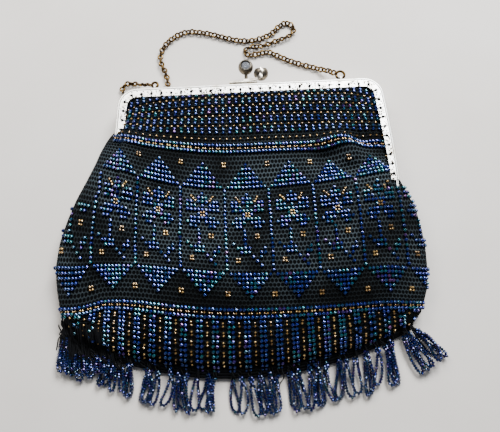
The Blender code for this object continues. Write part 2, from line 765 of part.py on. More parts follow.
def frame_clearance():
    """The frame's own channel, a little larger, with room for the hinges."""
    low, high = FRAME_REST - GAP, FRAME_TOP + GAP

    def channel(width):
        wall, lips = SHEET + GAP, SHEET + GAP
        return [
            (-GAP, low),
            (-GAP, high),
            (width + GAP, high),
            (width + GAP, high - lips - GAP),
            (wall, high - lips - GAP),
            (wall, low + lips + GAP),
            (width + GAP, low + lips + GAP),
            (width + GAP, low),
        ]

    obj = mesh_object("frame clearance", sweep_frame(frame_stations(WALL_END + GAP), channel))
    for side, label in ((-1, "left"), (1, "right")):
        reach = RIVET_HEAD + 2 * GAP
        ends = sorted(side * (HINGE_X - distance) for distance in (-reach, SHEET * 3.2))
        room = cylinder(
            f"{label} hinge room",
            (ends[0], -FRAME_ARM, FRAME_MIDDLE),
            (ends[1], -FRAME_ARM, FRAME_MIDDLE),
            EAR_RADIUS + GAP,
            14,
        )
        web_ends = sorted(side * (HINGE_X - distance) for distance in (-GAP, SHEET * 3.2))
        web = block(
            f"{label} web room",
            (web_ends[0], -FRAME_ARM, low),
            (web_ends[1], -WALL_END + 2 * MM, high),
        )
        boolean(obj, "UNION", room, web)
    return obj


def bottom_edge(x):
    """How far down the pouch's bottom seam lies at x."""
    down, left, right, rise_left, rise_right, bend = SECTIONS[-1][:6]
    center = (right - left) / 2 * BODY_WIDTH
    half = (right + left) / 2 * BODY_WIDTH
    share = max(-1.0, min(1.0, (x - center) / half))
    rise = rise_left if share < 0 else rise_right
    return -down * BODY_HEIGHT + rise * BODY_HEIGHT * abs(share) ** bend


def hang_at(share):
    """(lean in radians, length) of the fringe at this share of the seam."""
    for (before, lean, length), (after, next_lean, next_length) in zip(HANG, HANG[1:]):
        if share <= after:
            part = (share - before) / (after - before)
            return (
                math.radians(lean + (next_lean - lean) * part),
                FRINGE_LENGTH * (length + (next_length - length) * part),
            )


def fringe():
    """Head and locks as one flat comb outline, thinner towards the tips."""
    left = -SECTIONS[-1][1] * BODY_WIDTH
    right = SECTIONS[-1][2] * BODY_WIDTH
    seam = [
        Vector((-side * BODY_WIDTH - 1.4 * GAP, (rise - down) * BODY_HEIGHT - GAP))
        for down, side, _, rise, *_ in SECTIONS[-4:]
    ]
    corner = len(seam)
    seam += [
        Vector((x, bottom_edge(x) - GAP))
        for x in (left + (right - left) * step / 60 for step in range(1, 61))
    ]
    lengths = [0.0]
    for before, after in zip(seam, seam[1:]):
        lengths.append(lengths[-1] + (after - before).length)
    count = round(lengths[-1] / LOCK_PITCH)

    def on_seam(share):
        goal = share * lengths[-1]
        at = max(index for index, length in enumerate(lengths[:-1]) if length <= goal)
        part = (goal - lengths[at]) / (lengths[at + 1] - lengths[at])
        return seam[at].lerp(seam[at + 1], part)

    climb = lengths[corner - 1] / lengths[-1]
    along_bottom = [on_seam(climb + (1 - climb) * step / 26) for step in range(1, 26)]
    outline = [*seam[:corner], *along_bottom, seam[-1]]
    for index in reversed(range(count)):
        share = (index + 0.5) / count
        root = on_seam(share)
        lean, reach = hang_at(share)
        down = Vector((math.sin(lean), -math.cos(lean)))
        across = Vector((down.y, -down.x))
        half = (lengths[-1] / count - LOCK_SPACE) / 2
        ends = [on_seam(share - side * half / lengths[-1]) + down * FRINGE_HEAD for side in (-1, 1)]
        tip = root + down * (reach - half)
        outline.append(ends[0])
        for step in range(5):
            turn = math.pi * step / 4
            outline.append(tip - across * (half * math.cos(turn)) + down * (half * math.sin(turn)))
        outline.append(ends[1])
    curve = bpy.data.curves.new("fringe", "CURVE")
    curve.dimensions = "2D"
    curve.fill_mode = "BOTH"
    curve.extrude = FRINGE_HEIGHT / 2
    spline = curve.splines.new("POLY")
    spline.points.add(len(outline) - 1)
    for place, point in zip(spline.points, outline):
        place.co = (point.x, point.y, 0.0, 1.0)
    spline.use_cyclic_u = True
    flat = bpy.data.objects.new("fringe", curve)
    PARTS.objects.link(flat)
    flat.location.z = FRINGE_HEIGHT / 2
    obj = to_mesh_object(flat, FRINGE_BEADS)
    for vertex in obj.data.vertices:
        below = bottom_edge(vertex.co.x) - GAP - vertex.co.y
        share = max(0.0, min(1.0, below / FRINGE_LENGTH))
        if vertex.co.z > 0:
            slope = LOCK_TIP_HEIGHT + (LOCK_HEIGHT - LOCK_TIP_HEIGHT) * (1 - share)
            height = FRINGE_HEIGHT if below < FRINGE_HEAD / 3 else slope
            vertex.co.z = height
        else:
            vertex.co.z = 0.0
    return obj


def set_over_origin():
    """One empty carries everything and puts the centre of the box over the origin."""
    bpy.context.view_layer.update()
    graph = bpy.context.evaluated_depsgraph_get()
    points = []
    for obj in PARTS.objects:
        mesh = obj.evaluated_get(graph).to_mesh()
        points += [obj.matrix_world @ vertex.co for vertex in mesh.vertices]
    middle = [
        (min(point[axis] for point in points) + max(point[axis] for point in points)) / 2
        for axis in (0, 1)
    ]
    holder = bpy.data.objects.new("handbag", None)
    for obj in (*PARTS.objects, *CUTTERS.objects):
        obj.parent = holder
    PARTS.objects.link(holder)
    holder.location = (-middle[0], -middle[1], 0)


def build():
    front = frame_half("front_frame", True)
    back = frame_half("back_frame", False)
    chain_eye(back, "left", LEFT_EYE_X)
    chain_eye(back, "right", RIGHT_EYE_X)
    holes, pins = sewing_holes(), hinge_holes()
    for half in (front, back):
        boolean(half, "DIFFERENCE", holes, pins)
    hinge_rivet("hinge_rivet_left", -1)
    hinge_rivet("hinge_rivet_right", 1)
    front_clasp()
    stone_knob()
    stone()
    chain_ring("chain_ring_left", LEFT_EYE_X, LEFT_RING_RADIUS)
    chain_ring("chain_ring_right", RIGHT_EYE_X, RIGHT_RING_RADIUS)
    route = [Vector(point) * MM for point in CHAIN_ROUTE]
    wire_curve("handle_chain", curve_through(route, CHAIN_POINT_PITCH), CHAIN_WIDTH / 2, ANTIQUE_BRASS)
    boolean(pouch(), "DIFFERENCE", frame_clearance())
    fringe()
    set_over_origin()


build()
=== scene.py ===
# %% [markdown]
# # A beaded handbag on a silvered purse frame
#
# The bag is knitted in charcoal yarn, and glass seed beads are carried on the yarn, so that they stand in
# rows and columns as on squared paper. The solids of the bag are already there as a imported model. This
# lesson dresses them: the knitted cloth, every bead, the looped fringe, the chain and the finish of the
# metal. Lengths are in metres, with the bag on its back on the floor and the clasp towards +Y.

import math

import bmesh
import bpy
import numpy as np
from mathutils import Matrix, Vector


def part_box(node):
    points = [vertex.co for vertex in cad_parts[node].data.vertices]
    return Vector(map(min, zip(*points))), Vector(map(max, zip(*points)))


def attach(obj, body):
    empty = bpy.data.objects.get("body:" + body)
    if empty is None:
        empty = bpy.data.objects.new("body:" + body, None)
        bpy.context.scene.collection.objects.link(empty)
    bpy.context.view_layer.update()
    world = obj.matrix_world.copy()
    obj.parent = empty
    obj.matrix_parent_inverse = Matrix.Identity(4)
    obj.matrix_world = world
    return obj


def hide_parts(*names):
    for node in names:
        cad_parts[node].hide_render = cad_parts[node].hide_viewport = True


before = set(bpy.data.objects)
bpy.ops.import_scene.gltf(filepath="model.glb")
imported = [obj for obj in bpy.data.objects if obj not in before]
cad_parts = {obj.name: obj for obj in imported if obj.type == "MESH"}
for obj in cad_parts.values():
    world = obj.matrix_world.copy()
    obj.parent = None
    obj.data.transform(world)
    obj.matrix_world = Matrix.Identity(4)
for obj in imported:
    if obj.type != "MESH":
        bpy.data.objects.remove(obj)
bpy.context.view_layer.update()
MM = 0.001
rng = np.random.default_rng(7)

plate_low, plate_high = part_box("front_frame")
ORIGIN = np.array([(plate_low.x + plate_high.x) / 2, plate_high.y, 0.0])
print("nodes:", sorted(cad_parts))
print("middle of the frame's upper edge:", [round(float(v), 4) for v in ORIGIN])

# %% [markdown]
# ## The camera and the light
#
# The photograph was taken from above, a little from the fringe side, with the picture turned a few
# degrees. A camera is placed by where it stands and where it looks, so its three axes are worked out from
# those two points. Two broad lamps stand beyond the frame, like windows. The left one is weak and softens
# the shadows, and the right one is the bright spot on every bead. A pale surrounding light fills the rest.

# %% Camera
FOCAL_LENGTH = 43.2
CAMERA_AT = np.array([-8.76, -167.25, 336.49]) * MM
LOOKS_AT = np.array([-4.27, -81.49, 16.0]) * MM
ROLL = math.radians(3)


def new_object(name, data):
    """An object of the scene that holds this camera, lamp, mesh or curve."""
    made = bpy.data.objects.new(name, data)
    bpy.context.collection.objects.link(made)
    return made


def aim(obj, place, target, right):
    """Turns obj at place so that it looks at target, with its own X axis near the direction right."""
    ahead = (Vector(target) - Vector(place)).normalized()
    up = Vector(right).cross(ahead).normalized()
    right = ahead.cross(up)
    turn = Matrix((right, up, -ahead)).transposed()
    obj.matrix_world = Matrix.Translation(place) @ turn.to_4x4()


lens = bpy.data.cameras.new("camera")
lens.lens = FOCAL_LENGTH
lens.sensor_width = 36
lens.clip_start = 0.01
camera = new_object("camera", lens)
aim(camera, CAMERA_AT + ORIGIN, LOOKS_AT + ORIGIN, (math.cos(ROLL), -math.sin(ROLL), 0))
bpy.context.scene.camera = camera
print("camera stands at", [round(v, 3) for v in camera.location])


# %% Lamps and surroundings
def lamp(name, place, size, watts, tone):
    light = bpy.data.lights.new(name, "AREA")
    light.size = size
    light.energy = watts
    light.color = tone
    aim(new_object(name, light), np.array(place) * MM + ORIGIN, LOOKS_AT + ORIGIN, (1, 0, 0))


lamp("soft window", (-360, 430, 640), 0.42, 7.0, (1.0, 0.985, 0.96))
lamp("bright window", (270, 480, 680), 0.46, 24.0, (0.94, 0.97, 1.0))
world = bpy.data.worlds.new("studio")
world.use_nodes = True
world.node_tree.nodes["Background"].inputs["Color"].default_value = (0.80, 0.86, 0.95, 1)
world.node_tree.nodes["Background"].inputs["Strength"].default_value = 0.27
bpy.context.scene.world = world

# %% [markdown]
# ## Small helpers for shapes and finishes
#
# A colour is easiest to read as the hex value that a painting program shows, but the renderer works in
# linear light, so one function turns the first into the second. One more function adds a node with its
# settings and its links, which keeps each material short enough to read. The others join finished shapes
# and turn them into pieces of the bag.

# %% Colours and nodes
def linear(hex_color):
    """A linear colour with alpha from an sRGB value such as #8090a0."""
    parts = [int(hex_color[place:place + 2], 16) / 255 for place in (1, 3, 5)]
    return (*[v / 12.92 if v <= 0.04045 else ((v + 0.055) / 1.055) ** 2.4 for v in parts], 1.0)


def feed(tree, node, inputs):
    """Gives each named socket of a node a value, or the socket or node that feeds it."""
    for name, value in inputs.items():
        if isinstance(value, bpy.types.Node):
            value = value.outputs[0]
        if isinstance(value, bpy.types.NodeSocket):
            tree.links.new(value, node.inputs[name])
        else:
            node.inputs[name].default_value = value


def add(tree, kind, inputs=None, stops=None, **settings):
    """Adds a node with its settings, its inputs and, for a ramp, its (position, tone) stops."""
    made = tree.nodes.new(kind)
    for name, value in settings.items():
        setattr(made, name, value)
    for place, (position, tone) in enumerate(stops or ()):
        ramp = made.color_ramp.elements
        stop = ramp[place] if place < 2 else ramp.new(position)
        stop.position = position
        stop.color = linear(tone)
    feed(tree, made, inputs or {})
    return made


def new_material(name):
    made = bpy.data.materials.new(name)
    made.use_nodes = True
    return made, made.node_tree, made.node_tree.nodes["Principled BSDF"]


# %% Shapes to pieces
def to_mesh(name, bm):
    mesh = bpy.data.meshes.new(name)
    bm.to_mesh(mesh)
    bm.free()
    return mesh


def pour(bm, into):
    """Adds the faces of one bmesh to another."""
    mesh = to_mesh("poured", bm)
    into.from_mesh(mesh)
    bpy.data.meshes.remove(mesh)


def coat(mesh, material):
    """Gives a mesh this material and no other."""
    mesh.materials.clear()
    mesh.materials.append(material)


def to_piece(name, bm, material, smooth=180):
    return mesh_to_piece(name, to_mesh(name, bm), material, smooth)


def mesh_to_piece(name, mesh, material, smooth=180):
    """A finished piece: it rides on the bag. smooth is the sharpest rounded angle."""
    mesh.name = name
    coat(mesh, material)
    if smooth:
        mesh.shade_smooth()
    if 0 < smooth < 180:
        mesh.set_sharp_from_angle(angle=math.radians(smooth))
    obj = new_object(name, mesh)
    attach(obj, "root")
    mesh.calc_loop_triangles()
    print(f"{name}: {len(mesh.loop_triangles)} triangles")
    return obj


# %% [markdown]
# ## The surface that the bag lies on
#
# A pale matt ground is enough: one flat grid, with a faint mottle so that the light has something to
# fall on.

# %% Floor
floor_bm = bmesh.new()
bmesh.ops.create_grid(floor_bm, x_segments=2, y_segments=2, size=3.0)
floor = new_object("floor", to_mesh("floor", floor_bm))
paint, tree, shader = new_material("matt pale ground")
coords = add(tree, "ShaderNodeTexCoord").outputs["Object"]
mottle = add(tree, "ShaderNodeTexNoise", {"Vector": coords, "Scale": 14.0, "Detail": 3.0})
tone = add(tree, "ShaderNodeValToRGB", {0: mottle}, stops=[(0.3, "#c9c2ba"), (0.7, "#cfc9c2")])
feed(tree, shader, {"Base Color": tone, "Roughness": 0.7})
coat(floor.data, paint)

# %% [markdown]
# ## The form of the bag
#
# The cloth follows the solid of the bag, which is a loft through rows. Each row is described by a few
# shares: how wide it is, how far its ends are drawn up, and how high its side, front and back lie. The
# same table is repeated here, smoothed between its rows, so that the cloth and every bead can ask one
# function where the surface is. Dents and puckers are soft bumps added on top.

# %% Sizes and sections
BODY_HEIGHT = 164.5 * MM
BODY_WIDTH = 207 * MM
BODY_DEPTH = 24 * MM
FRAME_HALF_WIDTH = 78.5 * MM
FRAME_ARM = 68 * MM
ARM_BOW = 3 * MM
CORNER_RADIUS = 12 * MM
FACE_WIDTH = 6 * MM
FRAME_REST = 4.05 * MM
FRAME_TOP = 15.65 * MM
SIDE_SHARPNESS = 10
CROWN_SPAN = 0.93
CLOTH_INSET = 0.8 * MM
LIP_LIFT = 2.0 * MM
GATHER_WIDTH, GATHER_HEIGHT = 2.1 * MM, 0.22 * MM
RIPPLE_HEIGHT = 0.18 * MM
PLATE_GAP = 1.35 * MM
FLOOR_GAP = 1.65 * MM
SEAM_HEIGHT = 3.6 * MM
MOUTH_DOWN, SEAM_DOWN = 0.014, 0.996

# down, left, right, rise_left, rise_right, bend, edge, rim_left, rim_right, top, under
SECTIONS = np.array((
    (0.014, 0.370, 0.370, -0.056, -0.056, 10.0, 0.410, 0.178, 0.178, 0.588, 0.232),
    (0.041, 0.371, 0.371, -0.046, -0.046, 9.0, 0.410, 0.178, 0.178, 0.590, 0.230),
    (0.062, 0.372, 0.372, -0.034, -0.034, 8.0, 0.410, 0.178, 0.178, 0.690, 0.190),
    (0.105, 0.373, 0.373, 0.000, -0.006, 4.0, 0.410, 0.200, 0.178, 0.790, 0.100),
    (0.150, 0.380, 0.373, 0.024, 0.000, 2.6, 0.405, 0.290, 0.178, 0.820, 0.020),
    (0.195, 0.389, 0.374, 0.043, 0.004, 2.2, 0.395, 0.400, 0.178, 0.830, -0.040),
    (0.225, 0.400, 0.375, 0.060, 0.005, 2.0, 0.390, 0.440, 0.179, 0.835, -0.055),
    (0.252, 0.409, 0.377, 0.074, 0.008, 2.0, 0.380, 0.460, 0.195, 0.845, -0.065),
    (0.282, 0.417, 0.380, 0.089, 0.013, 2.0, 0.374, 0.470, 0.230, 0.858, -0.070),
    (0.312, 0.424, 0.382, 0.104, 0.018, 2.0, 0.369, 0.470, 0.260, 0.871, -0.070),
    (0.350, 0.433, 0.386, 0.122, 0.030, 2.0, 0.364, 0.470, 0.320, 0.890, -0.070),
    (0.404, 0.447, 0.394, 0.134, 0.052, 2.0, 0.360, 0.450, 0.420, 0.915, -0.070),
    (0.462, 0.470, 0.415, 0.134, 0.046, 1.9, 0.355, 0.420, 0.420, 0.945, -0.070),
    (0.520, 0.498, 0.437, 0.125, 0.037, 1.8, 0.350, 0.390, 0.390, 0.980, -0.070),
    (0.578, 0.522, 0.447, 0.109, 0.024, 1.7, 0.345, 0.370, 0.360, 1.000, -0.070),
    (0.634, 0.541, 0.452, 0.091, 0.012, 1.6, 0.335, 0.350, 0.340, 0.995, -0.070),
    (0.705, 0.551, 0.450, 0.073, 0.003, 1.4, 0.320, 0.340, 0.330, 0.960, -0.070),
    (0.758, 0.546, 0.444, 0.055, -0.003, 1.5, 0.305, 0.330, 0.320, 0.900, -0.070),
    (0.812, 0.537, 0.430, 0.042, 0.002, 1.6, 0.285, 0.320, 0.310, 0.820, -0.060),
    (0.870, 0.526, 0.419, 0.064, 0.026, 1.8, 0.260, 0.290, 0.280, 0.720, -0.050),
    (0.930, 0.514, 0.408, 0.101, 0.073, 2.0, 0.225, 0.230, 0.230, 0.590, -0.040),
    (0.976, 0.507, 0.401, 0.123, 0.106, 2.0, 0.190, 0.160, 0.160, 0.420, -0.010),
    (0.996, 0.503, 0.396, 0.131, 0.117, 2.0, 0.170, 0.090, 0.090, 0.290, 0.070),
))
# x, y, half_width, half_length, lift, pull, as shares of the bag's width, height and depth
DENTS = (
    (0.247, -0.258, 0.060, 0.045, 0.110, 0.018),
    (0.205, -0.300, 0.050, 0.034, -0.200, 0.000),
    (0.285, -0.305, 0.045, 0.036, 0.110, 0.004),
    (0.250, -0.350, 0.055, 0.032, -0.190, 0.004),
    (0.310, -0.240, 0.045, 0.030, -0.110, -0.010),
    (-0.300, -0.330, 0.120, 0.090, 0.050, 0.000),
    (-0.050, -0.395, 0.260, 0.045, -0.045, 0.000),
    (-0.440, -0.760, 0.090, 0.090, -0.090, 0.000),
    (0.110, -0.800, 0.200, 0.040, -0.050, 0.000),
    (0.340, -0.850, 0.080, 0.060, -0.090, 0.000),
)

# The knitted rows also ride up inside the surface here and there: place x, y, half width, half length and
# the move along y, all in millimetres.
ROW_PULLS = (
    (-80, -128, 30, 24, 4.6),
    (-45, -120, 34, 28, 2.2),
    (84, -122, 30, 26, 2.3),
)


def smoothed_sections():
    """The table at 500 even rows, each column rounded off where two straight stretches meet."""
    rows = np.linspace(SECTIONS[0, 0], SECTIONS[-1, 0], 500)
    bell = np.exp(-np.linspace(-2.5, 2.5, 31) ** 2)
    bell /= bell.sum()
    columns = [rows]
    for column in SECTIONS.T[1:]:
        values = np.pad(np.interp(rows, SECTIONS[:, 0], column), 15, "reflect", reflect_type="odd")
        columns.append(np.convolve(values, bell, "valid"))
    return columns


SMOOTHED = smoothed_sections()


def step_up(value, low, high):
    """0 below low, 1 above high, and a smooth climb between them."""
    share = np.clip((value - low) / (high - low), 0, 1)
    return share * share * (3 - 2 * share)


def inside_edge(x, y):
    """How far a point lies inside the frame's outer outline, seen from the front."""
    along_arm = np.clip((-y - CORNER_RADIUS) / (FRAME_ARM - CORNER_RADIUS), 0, 1)
    bow = ARM_BOW * np.sin(math.pi / 2 * along_arm)
    across = np.abs(x) - (FRAME_HALF_WIDTH + bow - CORNER_RADIUS)
    up = y + CORNER_RADIUS
    outside = np.hypot(np.maximum(across, 0), np.maximum(up, 0)) + np.minimum(np.maximum(across, up), 0)
    return CORNER_RADIUS - outside


def mound(across, along):
    """1 in the middle, and almost nothing beyond two half widths."""
    return np.exp(-(across**2) - along**2)


def dents_and_pulls(x, y, down):
    """How far each place on the front is lifted, and how far it is moved along the bag."""
    lift, pull = np.zeros_like(x), np.zeros_like(x)
    for dent_x, dent_y, half_width, half_length, dent_lift, dent_pull in DENTS:
        here = mound((x / BODY_WIDTH - dent_x) / half_width, (y / BODY_HEIGHT - dent_y) / half_length)
        lift += dent_lift * BODY_DEPTH * here
        pull += dent_pull * BODY_HEIGHT * here
    for pull_x, pull_y, half_width, half_length, move in ROW_PULLS:
        here = mound((x / MM - pull_x) / half_width, (y / MM - pull_y) / half_length)
        pull += move * MM * here * (1 - step_up(down, 0.9, 1.0))
    return lift, pull


def gathered(x, y, inner):
    """The small folds that fan out from the frame, and the slow ripple over the whole front."""
    near_frame = (1 - step_up(inner, 7 * MM, 24 * MM)) * step_up(inner, 5 * MM, 7 * MM)
    ripple = np.sin(x / (7.3 * MM) + 1.2 * np.sin(y / (9 * MM)))
    return GATHER_HEIGHT * np.sin(x / GATHER_WIDTH) * near_frame + RIPPLE_HEIGHT * ripple


def cloth(share, down, front=True, inset=CLOTH_INSET):
    """Points of the cloth. share runs from -1 at the left side to 1 at the right, down from 0 to 1."""
    share, down = np.broadcast_arrays(share, down)
    values = [np.interp(down, SMOOTHED[0], column) for column in SMOOTHED[1:]]
    left, right, rise_left, rise_right, bend, edge, rim_left, rim_right, top, under = values
    x = (right - left) / 2 * BODY_WIDTH + ((right + left) / 2 * BODY_WIDTH - inset) * share
    rise = np.where(share < 0, rise_left, rise_right)
    y = -down * BODY_HEIGHT + rise * BODY_HEIGHT * np.abs(share) ** bend
    shoulder = np.sqrt(np.clip(1 - np.abs(share) ** SIDE_SHARPNESS, 0, None))
    arch = 1 - (share / CROWN_SPAN) ** 2
    crown = (arch + np.sqrt(arch * arch + 0.004)) / 2 * shoulder
    side = edge * BODY_DEPTH
    inner = inside_edge(x, y)
    if front:
        height = top * BODY_DEPTH - side - inset
        rim = np.minimum(np.where(share < 0, rim_left, rim_right) * BODY_DEPTH, height + inset)
        rim = rim - inset * (1 - np.clip(crown, 0, 1))
        z = side + rim * shoulder + (height - rim) * crown
        fade = np.minimum(1, 3 * crown) * shoulder
        lift, pull = dents_and_pulls(x, y, down)
        z = z + lift * fade
        y = y + pull * fade
        over_lip = step_up(inner, 4.6 * MM, 6.4 * MM) * (1 - step_up(inner, 8 * MM, 22 * MM))
        z = z + LIP_LIFT * over_lip * shoulder * np.where(y > -FRAME_ARM, 1, 0)
        z = z + gathered(x, y, inner) * fade
    else:
        rim = edge - FRAME_REST / BODY_DEPTH - PLATE_GAP / BODY_DEPTH
        depth = side - under * BODY_DEPTH
        rim = np.maximum(np.minimum(rim * BODY_DEPTH, depth), depth * 0.6)
        z = side - rim * shoulder - (depth - rim) * crown
        z = np.maximum(z, 0) + inset * shoulder
        z = FLOOR_GAP + (z - FLOOR_GAP + np.sqrt((z - FLOOR_GAP) ** 2 + (0.6 * MM) ** 2)) / 2
    seam = step_up(down, 0.970, SEAM_DOWN)
    z = z * (1 - seam) + SEAM_HEIGHT * seam
    return np.stack([x, y, z], axis=-1)


print("front at the middle:", (cloth(0.0, 0.5) / MM).round(1), "mm")

# %% [markdown]
# ## From stitches to places
#
# The pattern is counted in stitches, so a bead is asked for by its column and row. The rows are a known
# distance apart down the middle of the bag. Along a row the stitches are a fixed width, so the column at
# any place is the length of cloth from the middle column, divided by that width. Turned round, this gives
# the place of each column on every row, over each fold and bulge, as on the knitted bag.

# %% Lengths along a line
def lengths_along(points):
    """The length of a line from its start to each of its points."""
    steps = np.linalg.norm(np.diff(points, axis=0), axis=1)
    return np.concatenate([[0], np.cumsum(steps)])


def point_at(goal, lengths, points):
    """The place on a line at this length, or the places at several lengths."""
    return np.array([np.interp(goal, lengths, values) for values in points.T]).T


# %% Columns and rows on the surface
ROW_DOWN = np.array([
    (-31, 0.004), (-29, 2.2), (-27, 6.2), (-20, 20.0), (-14, 33.0), (-8, 45.2), (0, 66.4), (21, 115.8),
    (29, 133.7), (31, 137.6), (42, 163.8),
])
COLUMN_WIDTH = np.array([(-27, 1.92), (-8, 2.0), (0, 2.03), (10, 2.05), (31, 2.08), (42, 2.15)])
MIDDLE_COLUMN_X = 6.7 * MM
SHARES = np.sin(np.linspace(-math.pi / 2, math.pi / 2, 361))


def down_of_row(row):
    return np.interp(row, ROW_DOWN[:, 0], ROW_DOWN[:, 1]) * MM / BODY_HEIGHT


def row_of_down(down):
    return np.interp(down * BODY_HEIGHT / MM, ROW_DOWN[:, 1], ROW_DOWN[:, 0])


def columns_along(down, front):
    """The column at each of SHARES, along the row that lies this far down."""
    points = cloth(SHARES, down, front)
    length = lengths_along(points)
    middle = np.interp(MIDDLE_COLUMN_X, points[:, 0], length)
    width = np.interp(row_of_down(down), COLUMN_WIDTH[:, 0], COLUMN_WIDTH[:, 1]) * MM
    return (length - middle) / width


def places_on_row(row, columns, front):
    """(places, directions across, up and outward, shares of the width) for these columns of a row."""
    down = down_of_row(row)
    share = np.interp(columns, columns_along(down, front), SHARES)
    nudge = 0.002
    place = cloth(share, down, front)
    right, left = np.minimum(share + nudge, 1), np.maximum(share - nudge, -1)
    across = cloth(right, down, front) - cloth(left, down, front)
    up = cloth(share, down - nudge, front) - cloth(share, min(down + nudge, 0.999), front)
    across /= np.linalg.norm(across, axis=1, keepdims=True)
    up /= np.linalg.norm(up, axis=1, keepdims=True)
    out = np.cross(across, up) * (1 if front else -1)
    out /= np.linalg.norm(out, axis=1, keepdims=True)
    return place, across, up, out, share


reach = columns_along(down_of_row(21), True)
print("row 21 runs from column", round(float(reach[0])), "to", round(float(reach[-1])))

# %% [markdown]
# ## The knitted cloth
#
# The cloth is plain knitting in a dark yarn, open enough that each stitch shows a small black hole. A
# grid is laid on the surface for the front and one for the back, their sides and bottoms are merged, and
# Solidify gives the shell its thickness. The grid carries a map that counts stitches, so that the material
# can draw the two legs and the hole of every stitch where the beads expect them. Modelling each strand
# would take millions of faces for detail far finer than the beads.


# %% Cloth shell
def cloth_sheet(bm, front):
    """One side of the shell, as a grid whose corners are moved on to the surface."""
    made = bmesh.ops.create_grid(bm, x_segments=170, y_segments=128, size=1.0)["verts"]
    flat = np.array([vertex.co[:2] for vertex in made])
    share = np.sin(flat[:, 0] * math.pi / 2)
    down = MOUTH_DOWN + (SEAM_DOWN - MOUTH_DOWN) * (1 - flat[:, 1]) / 2
    points = cloth(share, down, front) + ORIGIN
    for vertex, point in zip(made, points):
        vertex.co = point
    if not front:
        faces = {face for vertex in made for face in vertex.link_faces}
        bmesh.ops.reverse_faces(bm, faces=list(faces))
    return made, share, down


def count_stitches(bm, made, share, down, front):
    """Writes (column, row) into the map of every corner."""
    layer = bm.loops.layers.uv.get("stitches") or bm.loops.layers.uv.new("stitches")
    known = {}
    for vertex, here, depth in zip(made, share, down):
        key = round(float(depth), 6)
        if key not in known:
            known[key] = columns_along(depth, front)
        column = np.interp(here, SHARES, known[key])
        row = row_of_down(depth)
        for loop in vertex.link_loops:
            loop[layer].uv = (column + (0 if front else 60), row)


cloth_bm = bmesh.new()
for front in (True, False):
    made, share, down = cloth_sheet(cloth_bm, front)
    count_stitches(cloth_bm, made, share, down, front)
bmesh.ops.remove_doubles(cloth_bm, verts=cloth_bm.verts, dist=0.004 * MM)
print("open edges left, all at the mouth:", sum(edge.is_boundary for edge in cloth_bm.edges))

# %% Yarn material
# Knitted wool: no gloss, a dusty charcoal tone of its own on the legs of the stitch, and painted shade in
# its hole. The hole is about 1 mm across in a stitch 2 mm wide, each row stands half a stitch beside the
# last, and a twist of fine plies runs over the legs. The tone follows the height of the yarn: the black in
# the hole and in the low places is painted shade, and the lighter tops of the legs are a painted highlight.
# The tone is also darker near the frame. Painted shade darkens it towards the seam, where the cloth turns
# down, and a few soft patches of painted shade lie over the front.
yarn, tree, shader = new_material("charcoal knitting yarn")
stitches = add(tree, "ShaderNodeUVMap", uv_map="stitches")
wobble = add(tree, "ShaderNodeTexNoise", {"Vector": stitches, "Scale": 0.7, "Detail": 2.0})
shift = add(tree, "ShaderNodeVectorMath", {
    0: wobble.outputs["Color"], 1: (-0.5, -0.5, -0.5),
}, operation="ADD")
shifted = add(tree, "ShaderNodeVectorMath", {
    0: shift, 1: (0.28, 0.28, 0), 2: stitches,
}, operation="MULTIPLY_ADD")
place_in_rows = add(tree, "ShaderNodeSeparateXYZ", {0: shifted})
row_number = add(tree, "ShaderNodeMath", {0: place_in_rows.outputs["Y"]}, operation="FLOOR")
half_over = add(tree, "ShaderNodeMath", {0: row_number, 1: 0.5}, operation="MULTIPLY")
sideways = add(tree, "ShaderNodeCombineXYZ", {"X": half_over})
staggered = add(tree, "ShaderNodeVectorMath", {0: shifted, 1: sideways}, operation="ADD")
cell = add(tree, "ShaderNodeVectorMath", {0: staggered}, operation="FRACTION")
centered = add(tree, "ShaderNodeVectorMath", {0: cell, 1: (0.5, 0.5, 0)}, operation="SUBTRACT")
apart = add(tree, "ShaderNodeVectorMath", {0: centered}, operation="LENGTH").outputs["Value"]
hole = add(tree, "ShaderNodeMapRange", {0: apart, 1: 0.26, 2: 0.56}, interpolation_type="SMOOTHSTEP")
parts = add(tree, "ShaderNodeSeparateXYZ", {0: centered})
lean = add(tree, "ShaderNodeMath", {0: parts.outputs["X"]}, operation="ABSOLUTE")
strand = add(tree, "ShaderNodeMath", {0: lean, 1: 1.6, 2: parts.outputs["Y"]}, operation="MULTIPLY_ADD")
twist = add(tree, "ShaderNodeMath", {0: strand, 1: 31.0}, operation="MULTIPLY")
ply = add(tree, "ShaderNodeMath", {0: twist}, operation="SINE")
fuzz = add(tree, "ShaderNodeTexNoise", {"Vector": stitches, "Scale": 9.0, "Detail": 4.0})
height = add(tree, "ShaderNodeMath", {0: ply, 1: 0.16, 2: hole}, operation="MULTIPLY_ADD")
rough_height = add(tree, "ShaderNodeMath", {0: fuzz, 1: 0.5, 2: height}, operation="MULTIPLY_ADD")
# Height to tone: the black of the hole and the low places is painted shade, the light tops a painted
# highlight.
tones = add(tree, "ShaderNodeValToRGB", {0: rough_height}, stops=[
    (0.25, "#000001"), (0.60, "#07090b"), (0.92, "#1f2528"), (1.0, "#3d464b"),
])
rows = add(tree, "ShaderNodeSeparateXYZ", {0: stitches})
# Darker towards the frame. Towards the seam, where the cloth turns down from the light, the darkening is
# painted shade.
near_frame = add(tree, "ShaderNodeMapRange", {0: rows.outputs["Y"], 1: -9.0, 2: -4.0, 3: 0.3, 4: 0.9})
painted_seam_shade = add(tree, "ShaderNodeMapRange", {0: rows.outputs["Y"], 1: 20.0, 2: 31.0, 3: 1.0, 4: 0.2})
frame_and_seam_darkening = add(tree, "ShaderNodeMath", {0: near_frame, 1: painted_seam_shade}, operation="MULTIPLY")
